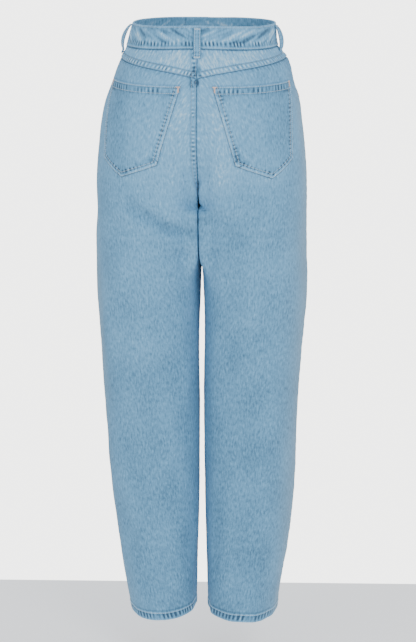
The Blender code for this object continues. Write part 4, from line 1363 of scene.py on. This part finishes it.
def allowances():
    """The strips behind the centre, side and inside leg seams."""
    made = {}
    rise = -BAND_HEIGHT - 0.002 - 0.004 * np.arange(67)
    across = [-1, -1, -1, 1, 1, 1, 1]
    made["centre_front"] = allowance("allowance_centre_front", across, [(0, 1)] * 7, rise)
    made["centre_back"] = allowance("allowance_centre_back", across, [(2, -1)] * 7, rise)
    whole = np.arange(-BAND_HEIGHT - 0.002, HEM_Z + HEM_DEPTH, -0.006)
    inside = np.arange(CROTCH_Z - 0.001, HEM_Z + HEM_DEPTH, -0.006)
    for side, label in SIDES:
        ways = [(1, -1)] * 3 + [(1, 1)] * 4
        made[f"side_{label}"] = allowance(f"allowance_side_{label}", [side] * 7, ways, whole)
        ways = [(2, -1)] * 3 + [(0, 1)] * 4
        made[f"inside_{label}"] = allowance(f"allowance_inside_{label}", [side] * 7, ways, inside)
    return made


def lathe(profile, steps):
    """(verts, quads) of a profile of (radius, height) turned round Z. It ends on the axis."""
    turns = np.linspace(0, 2 * math.pi, steps, endpoint=False)
    r, h = np.array(profile).T
    x = r[:, None] * np.cos(turns)
    y = r[:, None] * np.sin(turns)
    verts = np.stack([x, y, np.broadcast_to(h[:, None], x.shape)], -1).reshape(-1, 3)
    i, j = np.meshgrid(np.arange(len(r) - 1), np.arange(steps), indexing="ij")
    i, j = i.ravel(), j.ravel()
    after = (j + 1) % steps
    quads = np.stack([i * steps + j, i * steps + after, (i + 1) * steps + after, (i + 1) * steps + j], 1)
    return verts, quads


def button():
    """A shank button with a rolled rim, a sunk ring and a low dome."""
    h, r = BUTTON_HEIGHT, BUTTON_RADIUS
    tiny = 0.00005
    profile = [
        (tiny, h - 0.0003),
        (0.22 * r, h - 0.00034),
        (0.40 * r, h - 0.0005),
        (0.50 * r, h - 0.0009),
        (0.54 * r, h - 0.0011),
        (0.60 * r, h - 0.0010),
        (0.64 * r, h - 0.0007),
        (0.70 * r, h - 0.0006),
        (0.76 * r, h - 0.0002),
        (0.84 * r, h),
        (0.92 * r, h - 0.0001),
        (0.98 * r, h - 0.0006),
        (r, h - 0.0013),
        (0.99 * r, h - 0.0021),
        (0.94 * r, BUTTON_SHANK + 0.0002),
        (0.88 * r, BUTTON_SHANK),
        (0.50 * r, BUTTON_SHANK),
        (BUTTON_SHANK_RADIUS, BUTTON_SHANK - 0.0002),
        (BUTTON_SHANK_RADIUS * 0.9, 0.0004),
        (BUTTON_SHANK_RADIUS, 0.0),
        (tiny, 0.0),
    ]
    verts, quads = lathe(profile, 72)
    z = -BAND_HEIGHT / 2
    points, ways_out = surface(np.array([z]), np.array([BUTTON_X / arcs(z, 1)[0]]), 1)
    axis = Vector(ways_out[0])
    turn = axis.to_track_quat("Z", "Y").to_matrix()
    verts = verts @ np.array(turn).T + points[0] + ways_out[0] * (BAND_PROUD + GAP)
    obj = build("shank_button", verts, quads, None, {}, [METAL])
    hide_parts("button")
    return obj, points[0] + ways_out[0] * BAND_PROUD, ways_out[0]


def tree_of(obj):
    """A search tree over a piece's outer faces."""
    mesh = obj.data
    verts = [v.co for v in mesh.vertices]
    faces = [tuple(p.vertices) for p in mesh.polygons if p.material_index == 0]
    return BVHTree.FromPolygons(verts, faces)


def resampled(path, step):
    """Points along a polyline, a step apart."""
    path = np.asarray(path)
    lengths = lengths_along(path)
    at = np.arange(0, lengths[-1], step)
    return np.stack([np.interp(at, lengths, path[:, k]) for k in range(3)], 1)


class Thread:
    """Stitches gathered into one mesh."""

    # Along a stitch: the place, the size and how far it stands up, in radii
    RINGS = [
        (0.0, 0.35, -0.5),
        (0.12, 0.85, 0.35),
        (0.5, 1.0, 0.75),
        (0.88, 0.85, 0.35),
        (1.0, 0.35, -0.5),
    ]
    SIDES = 6

    def __init__(self):
        self.starts = []
        self.ends = []
        self.outs = []
        self.radii = []

    def stitch(self, start, end, out, radius=THREAD_RADIUS):
        self.starts.append(np.array(start))
        self.ends.append(np.array(end))
        self.outs.append(np.array(out))
        self.radii.append(radius)

    def row(self, tree, path, pitch=STITCH_PITCH, length=STITCH_LENGTH, seed=0):
        """A row of stitches along a line near a piece, each one set on the piece."""
        path = resampled(path, PATH_STEP)
        chance = np.random.default_rng(seed)
        per = pitch / PATH_STEP
        place = 0.6
        while place + length / PATH_STEP < len(path) - 1:
            a = path[int(place)]
            b = path[int(place + length / PATH_STEP)]
            found_a = tree.find_nearest(Vector(a))
            found_b = tree.find_nearest(Vector(b))
            if found_a[0] is not None and found_b[0] is not None:
                out = np.array(found_a[1] + found_b[1])
                out /= np.linalg.norm(out)
                self.stitch(found_a[0], found_b[0], out, THREAD_RADIUS * chance.uniform(0.9, 1.1))
            place += per * chance.uniform(0.97, 1.03)

    def tack(self, tree, start, end, width, count):
        """A bar of satin stitches across the line from start to end."""
        start, end = np.asarray(start), np.asarray(end)
        for k in range(count):
            t = (k + 0.5) / count
            middle = start + (end - start) * t
            found = tree.find_nearest(Vector(middle))
            out = np.array(found[1])
            across = unit(np.cross(out, end - start))
            place = np.array(found[0]) + out * 0.0002
            swing_out = across * width / 2 * (1 + 0.08 * math.sin(7.3 * k))
            self.stitch(place - swing_out, place + swing_out, out, TACK_RADIUS)

    def made(self, name, material):
        starts, ends, outs = (np.array(v) for v in (self.starts, self.ends, self.outs))
        radii = np.array(self.radii)[:, None, None]
        run = ends - starts
        across = unit(np.cross(outs, run))
        up = unit(np.cross(run, across))
        turns = np.linspace(0, 2 * math.pi, self.SIDES, endpoint=False)
        rings = []
        for at, size, lift in self.RINGS:
            centre = starts + run * at + up * lift * radii[:, 0]
            circle = (
                across[:, None] * np.cos(turns)[None, :, None]
                + up[:, None] * np.sin(turns)[None, :, None]
            )
            rings.append(centre[:, None] + circle * radii * size)
        verts = np.stack(rings, 1).reshape(-1, 3)
        per = len(self.RINGS) * self.SIDES
        quads = []
        for i in range(len(self.RINGS) - 1):
            for j in range(self.SIDES):
                after = (j + 1) % self.SIDES
                low, high = i * self.SIDES, (i + 1) * self.SIDES
                quads.append([low + j, low + after, high + after, high + j])
        last = (len(self.RINGS) - 1) * self.SIDES
        quads += [[3, 2, 1, 0], [5, 4, 3, 0]]
        quads += [[last, last + 1, last + 2, last + 3], [last, last + 3, last + 4, last + 5]]
        quads = np.array(quads)
        quads = (quads[None] + (np.arange(len(starts)) * per)[:, None, None]).reshape(-1, 4)
        return build(name, verts, quads, None, {}, [material])


def sew(pieces):
    """All the rows of stitches and bar tacks. Returns the thread objects."""
    made = []

    def on(z, w, side, out=0.0):
        points, ways_out = cloth(z, w, side)
        return points + ways_out * (out + STITCH_LIFT)

    def on_pocket(across, z):
        return on(z, pocket_place(across, z, side), side, ON_PATCH)

    backs = Thread()
    dull = Thread()
    tacks = Thread()
    for side, label in SIDES:
        tree = tree_of(pieces[f"pocket_back_{label}"])
        corners = np.array(POCKET_CORNERS)
        top_in, top_out, low_out, tip, low_in = corners
        outline = np.array([top_in, low_in, tip, low_out, top_out])
        for row_off in ROWS:
            lines = []
            for a, b in zip(outline, outline[1:]):
                run = (b - a) / np.linalg.norm(b - a)
                normal = np.array([-run[1], run[0]])
                if normal @ (corners.mean(axis=0) - a) < 0:
                    normal = -normal
                lines.append((a + normal * row_off, run))
            ring = [lines[0][0] + lines[0][1] * 0.0018]
            for (p, r), (q, s) in zip(lines, lines[1:]):
                t = np.linalg.solve(np.array([r, -s]).T, q - p)[0]
                ring.append(p + r * t)
            last_p, last_r = lines[-1]
            t = ((outline[-1] - last_p) @ last_r) - 0.0018
            ring.append(last_p + last_r * t)
            across = np.concatenate([np.linspace(a[0], b[0], 60) for a, b in zip(ring, ring[1:])])
            z = np.concatenate([np.linspace(a[1], b[1], 60) for a, b in zip(ring, ring[1:])])
            path = on_pocket(across, z)
            backs.row(tree, path, seed=11 + side)
        for down in (0.0022, 0.0125):
            across = np.linspace(top_in[0] + 0.002, top_out[0] - 0.002, 90)
            z = np.interp(across, [top_in[0], top_out[0]], [top_in[1], top_out[1]]) - down
            path = on_pocket(across, z)
            backs.row(tree, path, seed=13 + side)
        for corner, way in ((top_in, 1), (top_out, -1)):
            z = corner[1] - np.array([0.0016, 0.0105])
            across = corner[0] + way * np.array([0.0042, 0.0046])
            ends = on_pocket(across, z)
            tacks.tack(tree, ends[0], ends[1], 0.0028, 20)
            z = corner[1] - np.array([0.0018, 0.0018])
            across = corner[0] + way * np.array([0.0010, 0.0075])
            ends = on_pocket(across, z)
            tacks.tack(tree, ends[0], ends[1], 0.0024, 14)
        tree = tree_of(pieces[f"yoke_{label}"])
        shares = np.linspace(0.004, 0.985, 160)
        seam = yoke_seam(shares)
        for up_by in ROWS:
            dull.row(tree, on(seam + up_by, 1 + shares, side, 0.001), seed=17 + side)
    tree = tree_of(pieces["back_left"])
    z = np.linspace(YOKE_BACK_Z - 0.004, CROTCH_Z + 0.010, 120)
    for off in ROWS:
        dull.row(tree, on(z, 2 - off / arcs(z, 1)[1], 1, 0.001), seed=19)
    tree = tree_of(pieces["yoke_left"])
    z = np.linspace(LOOP_FOOT_Z - 0.001, YOKE_BACK_Z + 0.002, 30)
    for off in ROWS:
        dull.row(tree, on(z, 2 - off / arcs(z, 1)[1], 1, 0.001), seed=23)
    made.append(backs.made("stitches_back", PALE_THREAD))
    made.append(dull.made("stitches_seams", DULL_THREAD))

    fronts = Thread()
    for side, label in SIDES:
        tree = tree_of(pieces[f"front_{label}"])
        turns = np.linspace(0.03, math.pi / 2 - 0.03, 60)
        for off in ROWS:
            front = arcs(SCOOP_FOOT_Z, side)[0]
            z = -BAND_HEIGHT + (SCOOP_FOOT_Z + BAND_HEIGHT - off) * np.sin(turns)
            ways = 1 - (SCOOP_WIDTH + off) / front * np.cos(turns)
            fronts.row(tree, on(z, ways, side), seed=29 + side)
        ends = on([SCOOP_FOOT_Z - 0.001, SCOOP_FOOT_Z - 0.009], 1 - 0.003 / front, side)
        tacks.tack(tree, ends[0], ends[1], 0.0028, 16)
    tree = tree_of(pieces["fly"])
    for off in ROWS:
        width = FLY_WIDTH - off
        z = np.linspace(-BAND_HEIGHT - 0.002, FLY_STRAIGHT_Z, 60)
        turns = np.linspace(0, math.pi / 2 * 0.93, 40)[1:]
        x = np.concatenate([np.full(60, width), width * np.cos(turns)])
        z = np.concatenate([z, FLY_STRAIGHT_Z + (FLY_FOOT_Z + off - FLY_STRAIGHT_Z) * np.sin(turns)])
        fronts.row(tree, on(z, x / arcs(z, 1)[0], 1, ON_PATCH), seed=31)
    z = np.linspace(-BAND_HEIGHT - 0.002, FLY_FOOT_Z + 0.012, 60)
    fronts.row(tree, on(z, ROW_NEAR / arcs(z, 1)[0], 1, ON_PATCH), seed=37)
    for z_low, x in ((FLY_FOOT_Z + 0.010, 0.006), (FLY_STRAIGHT_Z - 0.004, FLY_WIDTH - 0.005)):
        z = np.array([z_low, z_low + 0.010])
        ends = on(z, x / arcs(z, 1)[0], 1, ON_PATCH)
        tacks.tack(tree, ends[0], ends[1], 0.0028, 16)
    tree = tree_of(pieces["front_left"])
    z = np.linspace(FLY_FOOT_Z - 0.003, CROTCH_Z + 0.010, 60)
    for off in ROWS:
        fronts.row(tree, on(z, off / arcs(z, 1)[0], 1, 0.001), seed=41)
    made.append(fronts.made("stitches_front", PALE_THREAD))

    edges = Thread()
    for side, label in SIDES:
        for part, start in (("front", 0.0), ("back", 1.0)):
            ways = np.linspace(start + 0.008, start + 0.992, 120)
            tree = tree_of(pieces[f"{part}_{label}"])
            path = on(HEM_ROW_Z, ways, side, 0.0006)
            edges.row(tree, path, pitch=0.0036, length=0.0029, seed=43 + side)
    tree = tree_of(pieces["waistband"])
    front = arcs(-BAND_HEIGHT / 2, 1)[0]
    for z_row in (-0.0026, -BAND_HEIGHT + 0.0022):
        path = []
        for side, ways in (
            (-1, np.linspace(0.7 * BAND_OVER_LAP / front, 0, 6)),
            (1, np.linspace(0, 2, 260)[1:]),
            (-1, np.linspace(2, 0.10, 240)[1:]),
        ):
            points, out = placed(np.full(len(ways), z_row), ways, side)
            path.append(points + out * (BAND_PROUD + 0.0006))
        edges.row(tree, np.concatenate(path), seed=47)
    z = np.linspace(-0.0030, -BAND_HEIGHT + 0.0026, 30)
    points, out = surface(z, np.full(len(z), 0.5 * BAND_OVER_LAP / front), -1)
    edges.row(tree, points + out * (BAND_PROUD + 0.0006), seed=53)
    for loop in LOOPS:
        tree = tree_of(pieces[loop.name])
        path, across, out = loop_path(loop)
        for place in (-1, 1):
            middle = path + out * (PATCH_WALL + 0.0004) + across * place * (LOOP_WIDTH / 2 - 0.0019)
            edges.row(tree, middle[2:-1], seed=59 + place)
        for k in (2, -3):
            centre = path[k] + out[k] * (PATCH_WALL + 0.0004)
            reach = across[k] * (LOOP_WIDTH / 2 - 0.0008)
            edges.tack(tree, centre - reach, centre + reach, 0.0020, 18)
    made.append(edges.made("stitches_edges", PALE_THREAD))
    made.append(tacks.made("bar_tacks", TACK_THREAD))
    return made


def buttonhole(centre, out, tree):
    """The keyhole's satin stitches, a ring round the shank and two bars towards the band's end."""
    hole = Thread()
    across = unit(np.cross(np.array([0, 0, 1.0]), out))
    up = np.cross(out, across)
    half, start, end = 0.0016, 0.0050, -0.0125
    path = [centre + across * x + up * half for x in np.linspace(end, start, 34)]
    path += [
        centre + across * (start + half * math.sin(a)) + up * half * math.cos(a)
        for a in np.linspace(0, math.pi, 10)[1:-1]
    ]
    path += [centre + across * x - up * half for x in np.linspace(start, end, 34)]
    path = np.array(path)
    for k in range(1, len(path) - 1):
        run = path[k + 1] - path[k - 1]
        outward = unit(np.cross(run, out))
        found = tree.find_nearest(Vector(path[k]))
        place = np.array(found[0]) + out * 0.00015
        hole.stitch(place - outward * 0.0009, place + outward * 0.0009, out, 0.00026)
    return hole.made("buttonhole_stitches", PALE_THREAD)


pieces = {}
for side, label in SIDES:
    pieces[f"back_{label}"] = back_panel(side, label)
    pieces[f"front_{label}"] = front_panel(side, label)
    pieces[f"yoke_{label}"] = yoke(side, label)
    pieces[f"pocket_back_{label}"] = back_pocket(side, label)
    pieces[f"facing_{label}"] = facing(side, label)
pieces["fly"] = fly()
strips = allowances()
pieces["waistband"] = waistband()
for loop in LOOPS:
    pieces[loop.name] = belt_loop(loop)
button_piece, button_foot, button_out = button()
threads = sew(pieces)
threads.append(buttonhole(button_foot, button_out, tree_of(pieces["waistband"])))

for piece in [*pieces.values(), *strips.values(), *threads]:
    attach(piece, "root")
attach(button_piece, "root")


# The fields for a piece as it was cut, in metres, with what shows of it flat; no piece is listed
Cut = namedtuple("Cut", "name width length area held rests_on")

# Floor
floor_size, floor_z, floor_far = 8.0, -1.112, -0.376
bpy.ops.mesh.primitive_grid_add(x_subdivisions=8, y_subdivisions=8, size=1)
floor = bpy.context.active_object
floor.name = "floor"
floor.scale = (floor_size, floor_size, 1)
floor_turn = math.radians(2.4)
floor.rotation_euler.z = floor_turn
floor.location = (
    -math.sin(floor_turn) * floor_size / 2,
    floor_far + math.cos(floor_turn) * floor_size / 2,
    floor_z,
)
floor_material, floor_tree, floor_shader = new_material("floor_paint")
floor_where = floor_tree.nodes.new("ShaderNodeTexCoord").outputs["Object"]
floor_cloud = noise(floor_tree, floor_where, 3.0, 3.0, 0.5)
floor_colour = mixed(floor_tree, floor_cloud, (0.70, 0.66, 0.64, 1), (0.74, 0.70, 0.68, 1))
floor_tree.links.new(floor_colour, floor_shader.inputs["Base Color"])
settings(
    floor_shader,
    {"Roughness": 0.7, "Emission Color": (1.0, 0.97, 0.98, 1), "Emission Strength": 0.55},
)
floor.data.materials.append(floor_material)

# Light
world = bpy.data.worlds.new("studio")
world.use_nodes = True
world_tree = world.node_tree
ambient = world_tree.nodes["Background"]
settings(ambient, {"Color": (0.88, 1.0, 1.10, 1), "Strength": 0.84})
backdrop = world_tree.nodes.new("ShaderNodeBackground")
settings(backdrop, {"Color": (1.0, 1.0, 0.985, 1), "Strength": 4.1})
chosen = world_tree.nodes.new("ShaderNodeMixShader")
seen = world_tree.nodes.new("ShaderNodeLightPath")
world_tree.links.new(seen.outputs["Is Camera Ray"], chosen.inputs[0])
world_tree.links.new(ambient.outputs[0], chosen.inputs[1])
world_tree.links.new(backdrop.outputs[0], chosen.inputs[2])
world_tree.links.new(chosen.outputs[0], world_tree.nodes["World Output"].inputs["Surface"])
bpy.context.scene.world = world
Lamp = namedtuple("Lamp", "name x y z size power")
for lamp in (
    Lamp("key", -1.8, 3.4, 1.9, 1.6, 74.0),
    Lamp("fill", 2.6, 2.8, 0.9, 2.2, 22.0),
    Lamp("front_key", 1.8, -3.4, 1.9, 1.6, 74.0),
    Lamp("front_fill", -2.6, -2.8, 0.9, 2.2, 22.0),
):
    light = bpy.data.lights.new(lamp.name, "AREA")
    light.size = lamp.size
    light.energy = lamp.power
    light.color = (0.92, 1.0, 1.06)
    holder = bpy.data.objects.new(lamp.name, light)
    bpy.context.scene.collection.objects.link(holder)
    holder.location = (lamp.x, lamp.y, lamp.z)
    aim = Vector((0, 0, -0.45)) - holder.location
    holder.rotation_euler = aim.to_track_quat("-Z", "Y").to_euler()

# Camera
camera_data = bpy.data.cameras.new("camera")
camera = bpy.data.objects.new("camera", camera_data)
bpy.context.scene.collection.objects.link(camera)
camera.location = (-0.337, 4.287, 0.43)
camera_aim = Vector((-0.0104, -0.0008, -0.516)) - camera.location
camera.rotation_euler = camera_aim.to_track_quat("-Z", "Y").to_euler()
camera_data.sensor_width = 36.0
camera_data.lens = 142.8
bpy.context.scene.camera = camera
